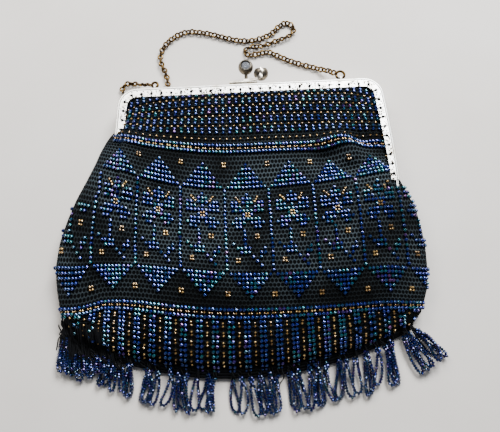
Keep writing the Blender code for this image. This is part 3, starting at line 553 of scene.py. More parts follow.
# Soft patches of painted shade, where the front turns away from the light.
shade_patch_noise = add(tree, "ShaderNodeTexNoise", {"Vector": stitches, "Scale": 0.055, "Detail": 2.0})
painted_shade_patches = add(tree, "ShaderNodeMapRange", {0: shade_patch_noise, 1: 0.40, 2: 0.60, 3: 0.22, 4: 1.1})
shade = add(tree, "ShaderNodeMath", {0: frame_and_seam_darkening, 1: painted_shade_patches}, operation="MULTIPLY")
shaded = add(tree, "ShaderNodeVectorMath", {0: tones, "Scale": shade}, operation="SCALE")
bump = add(tree, "ShaderNodeBump", {"Height": rough_height, "Distance": 0.5 * MM, "Strength": 0.9})
feed(tree, shader, {
    "Base Color": shaded, "Normal": bump, "Roughness": 0.92, "Specular IOR Level": 0.08,
})

# %% Finished cloth
pouch = to_piece("knitted_pouch", cloth_bm, yarn)
thickness = pouch.modifiers.new("thickness of the knitting", "SOLIDIFY")
thickness.thickness = 1.4 * MM
thickness.offset = -1
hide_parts("pouch")

# %% [markdown]
# ## One seed bead
#
# A seed bead is a short piece of drawn glass tube, tumbled until its ends are round. It is a cylinder
# with a bevel at each end, so few faces already look right. Thousands of them follow, so each has only a
# few dozen faces. A copy is set on each place by Geometry Nodes: Instance on Points puts it there, turned
# and sized by what the point carries, and Realize Instances makes all the copies one mesh.


# %% Bead shape
def bead_shape(name, radius, length, sides, rounding=0.26):
    bm = bmesh.new()
    bmesh.ops.create_cone(
        bm, cap_ends=True, segments=sides, radius1=radius, radius2=radius, depth=length
    )
    ends = [edge for edge in bm.edges if abs(edge.verts[0].co.z - edge.verts[1].co.z) < length / 2]
    bmesh.ops.bevel(
        bm, geom=ends, offset=radius * rounding, affect="EDGES", segments=1, profile=0.5, material=-1
    )
    for face in bm.faces:
        face.smooth = True
    for edge in bm.edges:
        edge.smooth = abs(edge.verts[0].co.z - edge.verts[1].co.z) > 0.01 * MM
    shape = bpy.data.objects.new(name, to_mesh(name, bm))
    print(f"{name}: {len(shape.data.polygons)} faces")
    return shape


# %% Many beads as one mesh
def scatter(name, shape, places, turns, sizes, tints):
    """One mesh with a copy of shape at each place."""
    points = bpy.data.meshes.new(name + " places")
    points.from_pydata([tuple(place) for place in places], [], [])
    for label, kind, key, values in (
        ("turn", "FLOAT_VECTOR", "vector", turns),
        ("size", "FLOAT", "value", sizes),
        ("tint", "FLOAT", "value", tints),
    ):
        layer = points.attributes.new(label, kind, "POINT")
        layer.data.foreach_set(key, np.asarray(values, np.float32).ravel())
    carrier = new_object(name + " places", points)
    tree = bpy.data.node_groups.new(name + " copies", "GeometryNodeTree")
    tree.interface.new_socket("Geometry", in_out="INPUT", socket_type="NodeSocketGeometry")
    tree.interface.new_socket("Geometry", in_out="OUTPUT", socket_type="NodeSocketGeometry")
    start = add(tree, "NodeGroupInput")
    copied = add(tree, "GeometryNodeObjectInfo", {"Object": shape})
    turn = add(tree, "GeometryNodeInputNamedAttribute", {"Name": "turn"}, data_type="FLOAT_VECTOR")
    size = add(tree, "GeometryNodeInputNamedAttribute", {"Name": "size"}, data_type="FLOAT")
    placed = add(tree, "GeometryNodeInstanceOnPoints", {
        "Points": start, "Instance": copied.outputs["Geometry"], "Rotation": turn, "Scale": size,
    })
    real = add(tree, "GeometryNodeRealizeInstances", {0: placed})
    add(tree, "NodeGroupOutput", {0: real})
    carrier.modifiers.new("copies", "NODES").node_group = tree
    graph = bpy.context.evaluated_depsgraph_get()
    mesh = bpy.data.meshes.new_from_object(carrier.evaluated_get(graph))
    bpy.data.objects.remove(carrier)
    bpy.data.node_groups.remove(tree)
    return mesh


def turn_from(axis, out):
    """The turn, as three angles, that points a bead's hole along axis with its side facing out."""
    axis = Vector(axis).normalized()
    side = (Vector(out) - axis * Vector(out).dot(axis)).normalized()
    return Matrix((side, axis.cross(side), axis)).transposed().to_euler()


# %% [markdown]
# ## The pattern
#
# The pattern repeats every 12 columns. From the frame down it has staggered pairs of beads with gold
# between them, two lines, a row of triangles that point up, panels between upright lines with a small
# traditional figure in each, triangles that point down, two lines with gold pairs between them, and
# upright stripes down to the seam. It is written out row by row, as a knitter's chart is.

# %% Chart
FIGURE_ROWS = {
    2: (6,), 3: (5, 6, 7), 4: (2, 3, 5, 6, 7, 9, 10), 5: (2, 3, 4, 6, 8, 9, 10),
    6: (2, 3, 4, 5, 6, 7, 8, 9, 10), 7: (5, 7), 8: (3, 4, 5, 6, 7, 8, 9), 9: (2, 3, 4, 5, 7, 8, 9, 10),
    10: (3, 4, 8, 9), 11: (5,), 12: (5,), 13: (5,), 14: (2, 5), 15: (3, 4, 5, 6, 10),
    16: (4, 5, 6, 9, 10), 17: (7, 9), 18: (8,), 19: (9,),
}
PAIR = 0.35


def blue_in_repeat(row):
    """The columns, from 0 to 11, that hold a blue bead on this row of the repeat."""
    if row <= -14:
        return [column for column in range(12) if (row + 27) % 3 != 2 and column % 2 == 0]
    if row in (-10, -8, 29, 31):
        return list(range(12))
    if -5 <= row <= 0:
        return [column for column in range(12) if abs(column - 6) <= row + 5]
    if 1 <= row <= 20:
        return [0, *FIGURE_ROWS.get(row, ())]
    if 21 <= row <= 26:
        return [column for column in range(12) if abs(column - 6) <= 26 - row]
    if 32 <= row <= 42:
        return [column for column in range(12) if column % 4 in (0, 1)]
    return []


def cluster(column, row):
    """Four gold beads in a small square."""
    return [(column + a, row + b) for a in (-PAIR, PAIR) for b in (-PAIR, PAIR)]


def gold_in_repeat():
    """(column, row) of every gold bead of one repeat."""
    found = []
    for row in (-25, -22, -19, -16):
        found += [(column, row) for column in range(1, 12, 2)]
    found += [(column + 1, -12) for column in range(0, 12, 2)]
    for column in range(12):
        apart = 0.16 if column % 2 else -0.16
        found += [(column - apart, -9), (column + apart, 30)]
    found += cluster(0, -5) + cluster(6, 7) + cluster(8.2, 12.3) + cluster(3, 17.8) + cluster(0, 25.5)
    found += [(3, 2.7), (3.5, 3.2), (4, 3.7), (8.8, 2.6), (8.4, 3.15), (8, 3.7)]
    for row in range(32, 42, 2):
        found += [(column, row + part) for column in (2.5, 6.5, 10.5) for part in (0.2, 0.85)]
    return found


# %% Places of the beads on the cloth
REPEAT = 12
FIRST_STRIPE_ROW = 32
COVERED_TOP, COVERED_ARM, COVERED_BEHIND = 6.9 * MM, 5.1 * MM, 5.3 * MM
WORN_OFF = 0.65
CLOSEST_BEADS = 1.85 * MM


def bare_places(place, share, row, front):
    """Which places lie under the frame, or where the stripes are worn bare towards both lower corners."""
    inner = inside_edge(place[:, 0], place[:, 1])
    beside_frame = place[:, 1] > -FRAME_ARM
    if front:
        covered = np.where(place[:, 1] > -10 * MM, COVERED_TOP, COVERED_ARM)
        under_frame = (inner < covered) & (place[:, 2] < FRAME_TOP + 0.9 * MM)
    else:
        under_frame = (inner < COVERED_BEHIND) & (place[:, 2] > FRAME_REST - 0.6 * MM)
    corner = np.abs(share) > 0.80 + 0.10 * (share > 0)
    worn = corner & (row > FIRST_STRIPE_ROW) & (rng.random(len(share)) < WORN_OFF)
    return (under_frame & beside_frame) | worn


def tint_at(column, row):
    """A tint that changes slowly over the bag, with a different share in each bead."""
    patch = 0.5 + 0.5 * math.sin(column * 0.23 + 2.1 * math.sin(row * 0.31 + column * 0.05))
    return min(1.0, 0.55 * rng.random() + 0.45 * patch)


def beads_on_cloth(chart, front, lift, lean, size):
    """Places, turns, sizes and tints for a chart of {row: columns within the repeat}."""
    places, turns, sizes, tints = [], [], [], []
    last_kept = {}
    for row in sorted(chart):
        ends = columns_along(down_of_row(row), front)
        columns = np.array([
            column + REPEAT * repeat
            for repeat in range(-6, 7)
            for column in chart[row]
            if ends[0] + 0.6 < column + REPEAT * repeat < ends[-1] - 0.6
        ])
        if not len(columns):
            continue
        names = columns.round(1)
        columns = columns + rng.normal(0, 0.05, len(columns))
        place, across, up, out, share = places_on_row(row, columns, front)
        place = place + out * lift + up * rng.normal(0, 0.05 * MM, (len(columns), 1))
        for at in np.flatnonzero(~bare_places(place, share, row, front)):
            above = last_kept.get(names[at], place[at] + 1)
            if row > FIRST_STRIPE_ROW and np.linalg.norm(place[at] - above) < CLOSEST_BEADS * size:
                continue
            last_kept[names[at]] = place[at]
            turned = lean + rng.normal(0, 0.12)
            axis = math.cos(turned) * across[at] + math.sin(turned) * up[at] + rng.normal(0, 0.10) * out[at]
            places.append(place[at] + ORIGIN)
            turns.append(turn_from(axis, out[at]))
            sizes.append(size * rng.normal(1, 0.035))
            tints.append(tint_at(columns[at], row))
    return places, turns, sizes, tints


BLUE_CHART = {row: blue_in_repeat(row) for row in range(-28, 43) if blue_in_repeat(row)}
GOLD_CHART = {}
for column, row in gold_in_repeat():
    GOLD_CHART.setdefault(row, []).append(column)
blue_count = sum(len(columns) for columns in BLUE_CHART.values())
print("beads in one repeat:", blue_count, "blue,", len(gold_in_repeat()), "gold")

# %% Bead glass
# Iris seed beads: black-blue glass with a thin metal oxide skin. The skin takes almost no light of its
# own and turns what it mirrors blue, teal or violet, so a bead looks dark with one bright spot.
iris, tree, shader = new_material("iris glass seed beads")
tint = add(tree, "ShaderNodeAttribute", attribute_name="tint")
coords = add(tree, "ShaderNodeTexCoord").outputs["Object"]
cloud = add(tree, "ShaderNodeTexNoise", {"Vector": coords, "Scale": 900.0, "Detail": 1.0})
mixed = add(tree, "ShaderNodeMath", {0: cloud, 1: 0.24, 2: tint.outputs["Fac"]}, operation="MULTIPLY_ADD")
moved = add(tree, "ShaderNodeMath", {0: mixed, 1: 0.12}, operation="SUBTRACT")
hues = add(tree, "ShaderNodeValToRGB", {0: moved}, stops=[
    (0.0, "#083f68"), (0.28, "#092b76"), (0.48, "#0e207a"), (0.62, "#074c64"), (0.76, "#0a676c"),
    (0.86, "#211a78"), (0.94, "#42206e"), (1.0, "#6c3a6c"),
])
feed(tree, shader, {
    "Base Color": hues, "Metallic": 0.88, "Roughness": 0.21, "Coat Weight": 1.0, "Coat Roughness": 0.09,
    "Coat IOR": 1.58,
})

# %% Fringe bead glass
# The strands carry rounder beads of the same kind, in darker hues that are painted shade, so only those that
# face the window sparkle.
shaded_iris, tree, shader = new_material("iris glass fringe beads with painted shade")
tint = add(tree, "ShaderNodeAttribute", attribute_name="tint")
hues = add(tree, "ShaderNodeValToRGB", {0: tint.outputs["Fac"]}, stops=[
    (0.0, "#04284a"), (0.35, "#061e5c"), (0.60, "#0a1664"), (0.75, "#033a48"), (0.90, "#1a1060"),
    (1.0, "#30144c"),
])
coords = add(tree, "ShaderNodeTexCoord").outputs["Object"]
cloud = add(tree, "ShaderNodeTexNoise", {"Vector": coords, "Scale": 900.0, "Detail": 1.0})
haze = add(tree, "ShaderNodeMapRange", {0: cloud, 3: 0.12, 4: 0.24})
feed(tree, shader, {
    "Base Color": hues, "Metallic": 0.85, "Roughness": haze, "Coat Weight": 1.0, "Coat Roughness": 0.06,
    "Coat IOR": 1.55,
})

# %% Gold bead glass
# Silver-lined amber beads: clear glass over a bright lining, so they glow brown-gold and sparkle.
amber, tree, shader = new_material("silver-lined amber seed beads")
tint = add(tree, "ShaderNodeAttribute", attribute_name="tint")
hues = add(tree, "ShaderNodeValToRGB", {0: tint.outputs["Fac"]}, stops=[
    (0.0, "#5e4320"), (0.5, "#93703a"), (1.0, "#c8a568"),
])
feed(tree, shader, {
    "Base Color": hues, "Metallic": 0.8, "Roughness": 0.26, "Coat Weight": 1.0, "Coat Roughness": 0.12,
    "Coat IOR": 1.6,
})

# %% Beads on the cloth
LEAN = math.radians(-39)
UPPER_ROWS = {row: columns for row, columns in BLUE_CHART.items() if row < 6}
LOWER_ROWS = {row: columns for row, columns in BLUE_CHART.items() if row >= 6}
SMALL_GOLD = {row: columns for row, columns in GOLD_CHART.items() if row < -6 or row > 28}
LARGE_GOLD = {row: columns for row, columns in GOLD_CHART.items() if row not in SMALL_GOLD}
seed_bead = bead_shape("seed bead", radius=1.03 * MM, length=1.55 * MM, sides=8)
for side, front in (("front", True), ("back", False)):
    lean = LEAN if front else -LEAN
    for part, chart in (("upper", UPPER_ROWS), ("lower", LOWER_ROWS)):
        found = beads_on_cloth(chart, front, lift=0.5 * MM, lean=lean, size=1.0)
        mesh = scatter(f"{side} {part}", seed_bead, *found)
        mesh_to_piece(f"{side}_{part}_blue_beads", mesh, iris, smooth=0)
    small = beads_on_cloth(SMALL_GOLD, front, lift=0.42 * MM, lean=lean, size=0.60)
    large = beads_on_cloth(LARGE_GOLD, front, lift=0.50 * MM, lean=lean, size=0.68)
    found = [first + second for first, second in zip(small, large)]
    mesh = scatter(f"{side} gold", seed_bead, *found)
    mesh_to_piece(f"{side}_gold_beads", mesh, amber, smooth=0)

# %% [markdown]
# ## The fringe
#
# Along the bottom seam hangs a fringe of bead strands, each looped back on itself, with its two legs
# twisted together near the seam and open like a drop at the end. A loop is a line through the middles of
# its beads: two legs that wind round a centre line and then part. It is walked at even steps, one bead to
# a step, with the bead's hole along the line.

# %% Seam and hang
FRINGE_LENGTH = 25 * MM
# share along the seam, lean in degrees, share of the length
HANG = np.array((
    (0.00, -13, 0.92), (0.06, -5, 0.82), (0.12, -3, 0.78), (0.24, -4, 0.92), (0.46, -6, 0.94),
    (0.50, 3, 0.98), (0.60, 0, 1.00), (0.80, 2, 1.05), (0.92, 5, 1.06), (0.96, 20, 1.02), (1.00, 44, 1.02),
))


def seam_line():
    """The bottom seam from the climb at its left corner to its right corner."""
    climb = [(-row[1] * BODY_WIDTH, (row[3] - row[0]) * BODY_HEIGHT) for row in SECTIONS[-4:]]
    bottom = cloth(np.linspace(-1, 1, 121), SEAM_DOWN)[1:, :2]
    return np.vstack([climb, bottom])


SEAM = seam_line()
SEAM_LENGTHS = lengths_along(SEAM)
print("the seam is", round(SEAM_LENGTHS[-1] / MM), "mm long")


def seam_at(along):
    return point_at(along * SEAM_LENGTHS[-1], SEAM_LENGTHS, SEAM)


# %% One loop
BEAD_PITCH = 1.46 * MM
FLOOR_LINE = 0.96 * MM
TWIST_RADIUS = 0.92 * MM
DROP_RADIUS = 2.6 * MM
NECK = 0.36
SWAY = 1.3 * MM
TOP_HEIGHT = 4.0 * MM


def loop_line(root, lean, length, layer, spread, half_turns, sway):
    """Points of one looped strand, from the seam down one leg, round the drop and back up the other."""
    way = np.linspace(0, 1, 60)
    down = np.array([math.sin(lean), -math.cos(lean)])
    across = np.array([down[1], -down[0]])
    bend = sway * np.sin(way * math.pi * 1.1) * SWAY
    centre = root + np.outer(way * length, down) + np.outer(bend, across)
    opened = np.sin(np.clip((way - NECK) / (1 - NECK), 0, 1) * math.pi * 0.62)
    wide = TWIST_RADIUS + (DROP_RADIUS * spread - TWIST_RADIUS) * opened
    round_end = np.sqrt(np.clip(1 - np.clip((way - 0.80) / 0.20, 0, 1) ** 2, 0, 1))
    wide = wide * round_end
    turned = np.clip(way / NECK, 0, 1)
    angle = math.pi * (half_turns * turned + 0.5 * (half_turns % 2) * (1 - turned))
    ground = FLOOR_LINE + layer
    height = TOP_HEIGHT + (ground - TOP_HEIGHT) * step_up(way, 0.0, 0.42)
    raised = height + TWIST_RADIUS * (1 - step_up(way, 0.38, 0.62))
    legs = []
    for side in (1, -1):
        flat = centre + np.outer(side * wide * np.cos(angle), across)
        lift = raised + side * TWIST_RADIUS * np.sin(angle)
        legs.append(np.column_stack([flat, np.maximum(lift, FLOOR_LINE)]))
    return np.vstack([legs[0], legs[1][-2::-1]])


def walk(points, pitch):
    """(places, directions) at even steps along a line."""
    lengths = lengths_along(points)
    count = int(lengths[-1] / pitch)
    goals = (np.arange(count) + 0.5) * lengths[-1] / count
    ahead = point_at(goals + pitch / 3, lengths, points) - point_at(goals - pitch / 3, lengths, points)
    return point_at(goals, lengths, points), ahead


# %% [markdown]
# Most loops hang from the seam in two layers. At the left corner the fringe runs up over the cloth: those
# strands are bare thread for most of their length, lie on the cloth, and carry beads only near their ends.

# %% All loops
FRINGE_GAP = (-25 * MM, -19 * MM)
CORNER_STRANDS = 13
BARE_STRAND = 5 * MM
STRAY_THREADS = 6
BEAD_TURN = 0.20


def fringe_roots():
    """(share along the seam, layer height) of every loop."""
    front = [((step + 0.5) / 38, 1.9 * MM) for step in range(38)]
    behind = [(step / 14, 0.0) for step in range(15)]
    corner = [(0.012, 3.4 * MM), (0.045, 3.6 * MM), (0.968, 3.0 * MM), (0.982, 3.6 * MM), (0.992, 4.2 * MM)]
    return [*front, *behind, *corner]


CLOTH_SAMPLES = np.vstack([cloth(np.linspace(-1, 1, 121), down) for down in np.linspace(0.6, 1, 60)])


def lie_on_cloth(line):
    """The same line, with each point over the cloth laid on it and the rest left where it is."""
    gaps = np.linalg.norm(line[:, None, :2] - CLOTH_SAMPLES[None, :, :2], axis=2)
    nearest = gaps.argmin(axis=1)
    over = gaps[np.arange(len(line)), nearest] < 2.2 * MM
    height = np.where(over, np.maximum(CLOTH_SAMPLES[nearest, 2] + 0.9 * MM, line[:, 2]), line[:, 2])
    height = np.convolve(np.pad(height, 4, mode="edge"), np.full(9, 1 / 9), mode="valid")
    return np.column_stack([line[:, :2], height])


def seam_loops():
    """(points, length of bare thread at the top) of every loop along the seam."""
    loops = []
    for along, layer in fringe_roots():
        along = float(np.clip(along + rng.normal(0, 0.004), 0.004, 0.996))
        root = seam_at(along)
        if FRINGE_GAP[0] < root[0] < FRINGE_GAP[1]:
            continue
        lean = math.radians(np.interp(along, HANG[:, 0], HANG[:, 1]) + rng.normal(0, 5))
        length = FRINGE_LENGTH * np.interp(along, HANG[:, 0], HANG[:, 2]) * rng.uniform(0.86, 1.0)
        half_turns = int(rng.integers(1, 4))
        line = loop_line(root, lean, length, layer, rng.uniform(0.42, 0.95), half_turns, rng.normal(0, 1))
        # The bare black thread at the top of each loop is also painted shade, for the dark band beside the
        # seam.
        bare = rng.uniform(1.5, 4.5) + np.interp(along, (0, 0.10, 0.24), (9, 7, 0))
        loops.append((line, bare * MM))
    return loops


def corner_loops():
    """The same for the strands that lie on the left corner of the cloth."""
    loops = []
    for step in range(CORNER_STRANDS):
        root = np.array([-108.2 + 2.0 * step, -133.0 - 0.5 * step]) * MM + rng.normal(0, 0.6 * MM, 2)
        lean = math.radians(-8 + 0.7 * step + rng.normal(0, 2))
        line = loop_line(
            root, lean, rng.uniform(22, 27) * MM, rng.uniform(1.9, 4.2) * MM, rng.uniform(0.7, 1.0),
            1, rng.normal(0, 0.3),
        )
        loops.append((lie_on_cloth(line), rng.uniform(14, 20) * MM * (0.6 if step < 3 else 1)))
    return loops


def thread_mesh(name, lines, radius, roundness=0):
    """All lines as one mesh of threads, made from one curve with a spline for each line."""
    curve = bpy.data.curves.new(name, "CURVE")
    curve.dimensions = "3D"
    curve.bevel_depth = radius
    curve.bevel_resolution = roundness
    curve.use_fill_caps = True
    for line in lines:
        spline = curve.splines.new("POLY")
        spline.points.add(len(line) - 1)
        for point, place in zip(spline.points, line):
            point.co = (*place, 1)
    holder = new_object(name, curve)
    mesh = bpy.data.meshes.new_from_object(holder.evaluated_get(bpy.context.evaluated_depsgraph_get()))
    bpy.data.objects.remove(holder)
    return mesh


# %% Beads and threads of the fringe
def string_beads(loops):
    """(thread lines, (places, turns, sizes, tints) of the beads) for all loops."""
    threads, places, turns, sizes, tints = [], [], [], [], []
    for line, bare in loops:
        half = len(line) // 2
        threads += [line[:half:3] + ORIGIN, line[half::3] + ORIGIN]
        for _ in range(STRAY_THREADS if bare > BARE_STRAND else 1):
            aside = np.array([*rng.normal(0, 1.1 * MM, 2), rng.uniform(-0.8, 0.3) * MM])
            threads.append(line[:half * 2 // 3:3] + aside + ORIGIN)
        along, ahead = walk(line, BEAD_PITCH)
        from_top = np.linalg.norm(along[:, :2] - line[0, :2], axis=1)
        for place, way, far in zip(along, ahead, from_top):
            if far > bare:
                places.append(place + ORIGIN)
                way = way / np.linalg.norm(way) + rng.normal(0, BEAD_TURN, 3)
                turns.append(turn_from(way, (0.1, 0.2, 1)))
                sizes.append(rng.normal(0.97, 0.03))
                tints.append(rng.random())
    print(len(places), "beads in the fringe")
    return threads, (places, turns, sizes, tints)


threads, strung = string_beads(seam_loops() + corner_loops())
fringe_bead = bead_shape("fringe bead", radius=1.04 * MM, length=1.36 * MM, sides=7, rounding=0.42)
fringe_mesh = scatter("fringe", fringe_bead, *strung)
fringe = mesh_to_piece("looped_fringe", fringe_mesh, shaded_iris, smooth=0)
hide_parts("fringe")

# %% [markdown]
# ## The chain
#
# The chain is a fine rolo chain: round links, each turned a quarter against the next. A link is a circle
# of wire spun round its centre. The links follow the way of the chain's solid, one to each step, and each
# is rolled about the line by its turn.

# %% Chain route
CHAIN_ROUTE = np.array((
    (-61.4, 5.8, 7.6), (-64.0, 7.0, 5.4), (-67.4, 8.6, 3.0), (-71.0, 9.8, 2.0), (-74.8, 10.0, 1.9),
    (-77.8, 6.8, 1.9), (-76.2, 2.6, 1.9), (-71.0, 0.2, 1.9), (-64.5, -1.6, 1.9), (-58.0, -2.0, 1.9),
    (-52.5, 0.4, 1.9), (-50.3, 5.6, 1.9), (-50.2, 11.0, 1.9), (-51.4, 16.6, 1.9), (-53.8, 22.6, 1.9),
    (-54.2, 28.6, 1.9), (-52.0, 34.0, 1.9), (-48.0, 38.6, 1.9), (-43.0, 42.0, 1.9), (-36.5, 44.0, 1.9),
    (-29.0, 43.2, 1.9), (-21.0, 41.2, 1.9), (-13.0, 38.4, 1.9), (-5.0, 36.2, 1.9), (3.0, 35.8, 1.9),
    (10.0, 37.4, 1.9), (16.0, 40.4, 1.9), (20.6, 44.8, 1.9), (25.4, 47.0, 1.9), (29.4, 44.0, 1.9),
    (28.4, 39.4, 1.9), (22.6, 36.4, 1.9), (15.6, 33.8, 1.9), (8.6, 31.6, 1.9), (2.2, 31.4, 1.9),
    (-1.8, 29.0, 1.9), (0.4, 25.8, 1.9), (6.0, 26.2, 1.9), (12.4, 27.2, 1.9), (18.0, 24.6, 1.9),
    (24.6, 21.0, 1.9), (31.6, 18.0, 1.9), (38.6, 15.6, 1.9), (43.6, 13.4, 2.6), (47.4, 11.2, 4.8),
    (50.2, 8.8, 6.8),
)) * MM
LINK_RADIUS = 1.38 * MM
LINK_WIRE = 0.56 * MM
LINK_PITCH = 2.38 * MM
LINK_ROLLS = (78, 12)
RING_WIRE = 0.76 * MM
RING_GROWTH = 0.31 * MM


def rounded_line(points):
    """A dense line through the points, rounded as a chain would lie."""
    frame_and_seam_darkening = []
    ends = np.vstack([2 * points[0] - points[1], points, 2 * points[-1] - points[-2]])
    for a, b, c, d in zip(ends, ends[1:], ends[2:], ends[3:]):
        for t in np.arange(10) / 10:
            bend = (2 * a - 5 * b + 4 * c - d) * t**2
            swing = (3 * b - a - 3 * c + d) * t**3
            frame_and_seam_darkening.append(0.5 * (2 * b + (c - a) * t + bend + swing))
    return np.array([*frame_and_seam_darkening, points[-1]])


def wire_ring(bm, radius, wire, around=16, sides=7):
    """A closed ring of round wire about Z, spun from one circle."""
    circle = bmesh.ops.create_circle(bm, segments=sides, radius=wire)["verts"]
    bmesh.ops.rotate(bm, matrix=Matrix.Rotation(math.pi / 2, 3, "X"), verts=circle)
    bmesh.ops.translate(bm, vec=(radius, 0, 0), verts=circle)
    edges = list({edge for vertex in circle for edge in vertex.link_edges})
    bmesh.ops.spin(
        bm, geom=edges, cent=(0, 0, 0), axis=(0, 0, 1), angle=math.tau, steps=around, use_merge=True
    )
    return bm


# %% Antique bronze
# Brass darkened in a bath and rubbed bright in spots: the eye sees brown with small yellow glints. The two
# jump rings are handled less, so they are darker.
def bronze_plate(name, deep_tone, middle_tone, rubbed_tone):
    made, tree, shader = new_material(name)
    coords = add(tree, "ShaderNodeTexCoord").outputs["Object"]
    patches = add(tree, "ShaderNodeTexNoise", {"Vector": coords, "Scale": 760.0, "Detail": 3.0})
    worn = add(tree, "ShaderNodeValToRGB", {0: patches}, stops=[
        (0.38, deep_tone), (0.54, middle_tone), (0.70, rubbed_tone),
    ])
    matt = add(tree, "ShaderNodeMapRange", {0: patches, 3: 0.46, 4: 0.24})
    grain = add(tree, "ShaderNodeBump", {"Height": patches, "Distance": 0.05 * MM, "Strength": 0.5})
    feed(tree, shader, {"Base Color": worn, "Metallic": 1.0, "Roughness": matt, "Normal": grain})
    return made


bronze = bronze_plate("antique bronze plating", "#1c1206", "#503a1c", "#a98a54")
dark_bronze = bronze_plate("dark bronze plating on the rings", "#120b04", "#33240f", "#75592e")


# %% Links
def link_copies():
    """All links as one bmesh, from the left ring along the route to the right ring."""
    to_rings = np.array(((-59.4, 5.2, 7.9), (52.0, 7.4, 7.8))) * MM
    line = rounded_line(np.vstack([to_rings[:1], CHAIN_ROUTE, to_rings[1:]]))
    places, ahead = walk(line, LINK_PITCH)
    chain_bm = bmesh.new()
    for number, (place, along) in enumerate(zip(places, ahead)):
        link = bmesh.new()
        wire_ring(link, LINK_RADIUS, LINK_WIRE)
        forward = Vector(along).normalized()
        side = Vector((0, 0, 1)).cross(forward).normalized()
        up = forward.cross(side)
        frame_turn = Matrix((forward, side, up)).transposed().to_4x4()
        roll = Matrix.Rotation(math.radians(LINK_ROLLS[number % 2] + rng.normal(0, 9)), 4, "X")
        bmesh.ops.transform(
            link, matrix=Matrix.Translation(place + ORIGIN) @ frame_turn @ roll, verts=link.verts
        )
        pour(link, chain_bm)
    bmesh.ops.remove_doubles(chain_bm, verts=chain_bm.verts, dist=0.001 * MM)
    bmesh.ops.recalc_face_normals(chain_bm, faces=chain_bm.faces)
    print(len(places), "links")
    return chain_bm


chain = to_piece("rolo_chain", link_copies(), bronze)
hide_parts("handle_chain")

for label in ("left", "right"):
    low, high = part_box("chain_ring_" + label)
    ring_bm = bmesh.new()
    wire_ring(ring_bm, (high.x - low.x) / 2 + RING_GROWTH - RING_WIRE, RING_WIRE, around=32, sides=10)
    bmesh.ops.recalc_face_normals(ring_bm, faces=ring_bm.faces)
    bmesh.ops.translate(ring_bm, vec=(low + high) / 2, verts=ring_bm.verts)
    ring = to_piece(f"jump_ring_{label}", ring_bm, dark_bronze)
    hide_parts(f"chain_ring_{label}")

# %% [markdown]
# ## The frame
#
# The frame is two pressed channels of silvered brass, hinged at the ends of the arms. Their solids are
# right as they are, so they stay and get the finish: a bright lip, a groove, a stippled band and the dark
# silver that gathers where no hand rubs. The distance from the outer edge, which all of these follow, is
# worked out in the material from the object's own coordinates.

# %% Silvered brass
# Thin silver over brass, polished by hands: nearly white, with grey in the groove and in the press work.
GROOVE_AT = 1.7 * MM
BAND_FROM = 2.2 * MM
silver, tree, shader = new_material("silvered brass")
coords = add(tree, "ShaderNodeTexCoord").outputs["Object"]
local = add(tree, "ShaderNodeVectorMath", {0: coords, 1: tuple(ORIGIN)}, operation="SUBTRACT")
parts = add(tree, "ShaderNodeSeparateXYZ", {0: local})
drop = add(tree, "ShaderNodeMapRange", {
    0: parts.outputs["Y"], 1: -CORNER_RADIUS, 2: -FRAME_ARM, 3: 0.0, 4: math.pi / 2,
})
sine = add(tree, "ShaderNodeMath", {0: drop}, operation="SINE")
corner_x = add(tree, "ShaderNodeMath", {
    0: sine, 1: ARM_BOW, 2: FRAME_HALF_WIDTH - CORNER_RADIUS,
}, operation="MULTIPLY_ADD")
beside = add(tree, "ShaderNodeMath", {0: parts.outputs["X"]}, operation="ABSOLUTE")
across = add(tree, "ShaderNodeMath", {0: beside, 1: corner_x}, operation="SUBTRACT")
above = add(tree, "ShaderNodeMath", {0: parts.outputs["Y"], 1: CORNER_RADIUS}, operation="ADD")
both = add(tree, "ShaderNodeCombineXYZ", {0: across, 1: above})
clipped = add(tree, "ShaderNodeVectorMath", {0: both, 1: (0, 0, 0)}, operation="MAXIMUM")
away = add(tree, "ShaderNodeVectorMath", {0: clipped}, operation="LENGTH").outputs["Value"]
inward = add(tree, "ShaderNodeMath", {0: CORNER_RADIUS, 1: away}, operation="SUBTRACT")
groove = add(tree, "ShaderNodeMath", {0: inward, 1: GROOVE_AT, 2: 0.2 * MM}, operation="COMPARE")
band_start = add(tree, "ShaderNodeMath", {0: inward, 1: BAND_FROM}, operation="GREATER_THAN")
stipple = add(tree, "ShaderNodeTexVoronoi", {"Vector": coords, "Scale": 950.0})
dots = add(tree, "ShaderNodeMath", {0: stipple, 1: 0.46}, operation="LESS_THAN")
leaves = add(tree, "ShaderNodeTexNoise", {
    "Vector": coords, "Scale": 330.0, "Detail": 2.0, "Distortion": 1.6,
})
leaf_edge = add(tree, "ShaderNodeMapRange", {0: leaves, 1: 0.44, 2: 0.56}, interpolation_type="SMOOTHSTEP")
outer_work = add(tree, "ShaderNodeMath", {0: dots, 1: leaf_edge}, operation="MULTIPLY")
worked = add(tree, "ShaderNodeMath", {0: outer_work, 1: band_start}, operation="MULTIPLY")
relief = add(tree, "ShaderNodeMath", {0: worked, 1: 0.6, 2: groove}, operation="MULTIPLY_ADD")
tarnish = add(tree, "ShaderNodeTexNoise", {"Vector": coords, "Scale": 120.0, "Detail": 5.0})
dirt = add(tree, "ShaderNodeMath", {0: relief, 1: 0.75, 2: tarnish}, operation="MULTIPLY_ADD")
tones = add(tree, "ShaderNodeValToRGB", {0: dirt}, stops=[
    (0.50, "#fbf9f4"), (0.68, "#e6e0d4"), (0.80, "#7d7365"), (0.93, "#3a332a"),
])
dull = add(tree, "ShaderNodeMapRange", {0: dirt, 1: 0.3, 2: 1.0, 3: 0.40, 4: 0.6})
press = add(tree, "ShaderNodeBump", {"Height": relief, "Distance": 0.16 * MM, "Strength": 0.8}, invert=True)
feed(tree, shader, {"Base Color": tones, "Metallic": 1.0, "Roughness": dull, "Normal": press})
for name in ("front_frame", "back_frame", "hinge_rivet_left", "hinge_rivet_right"):
    coat(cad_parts[name].data, silver)

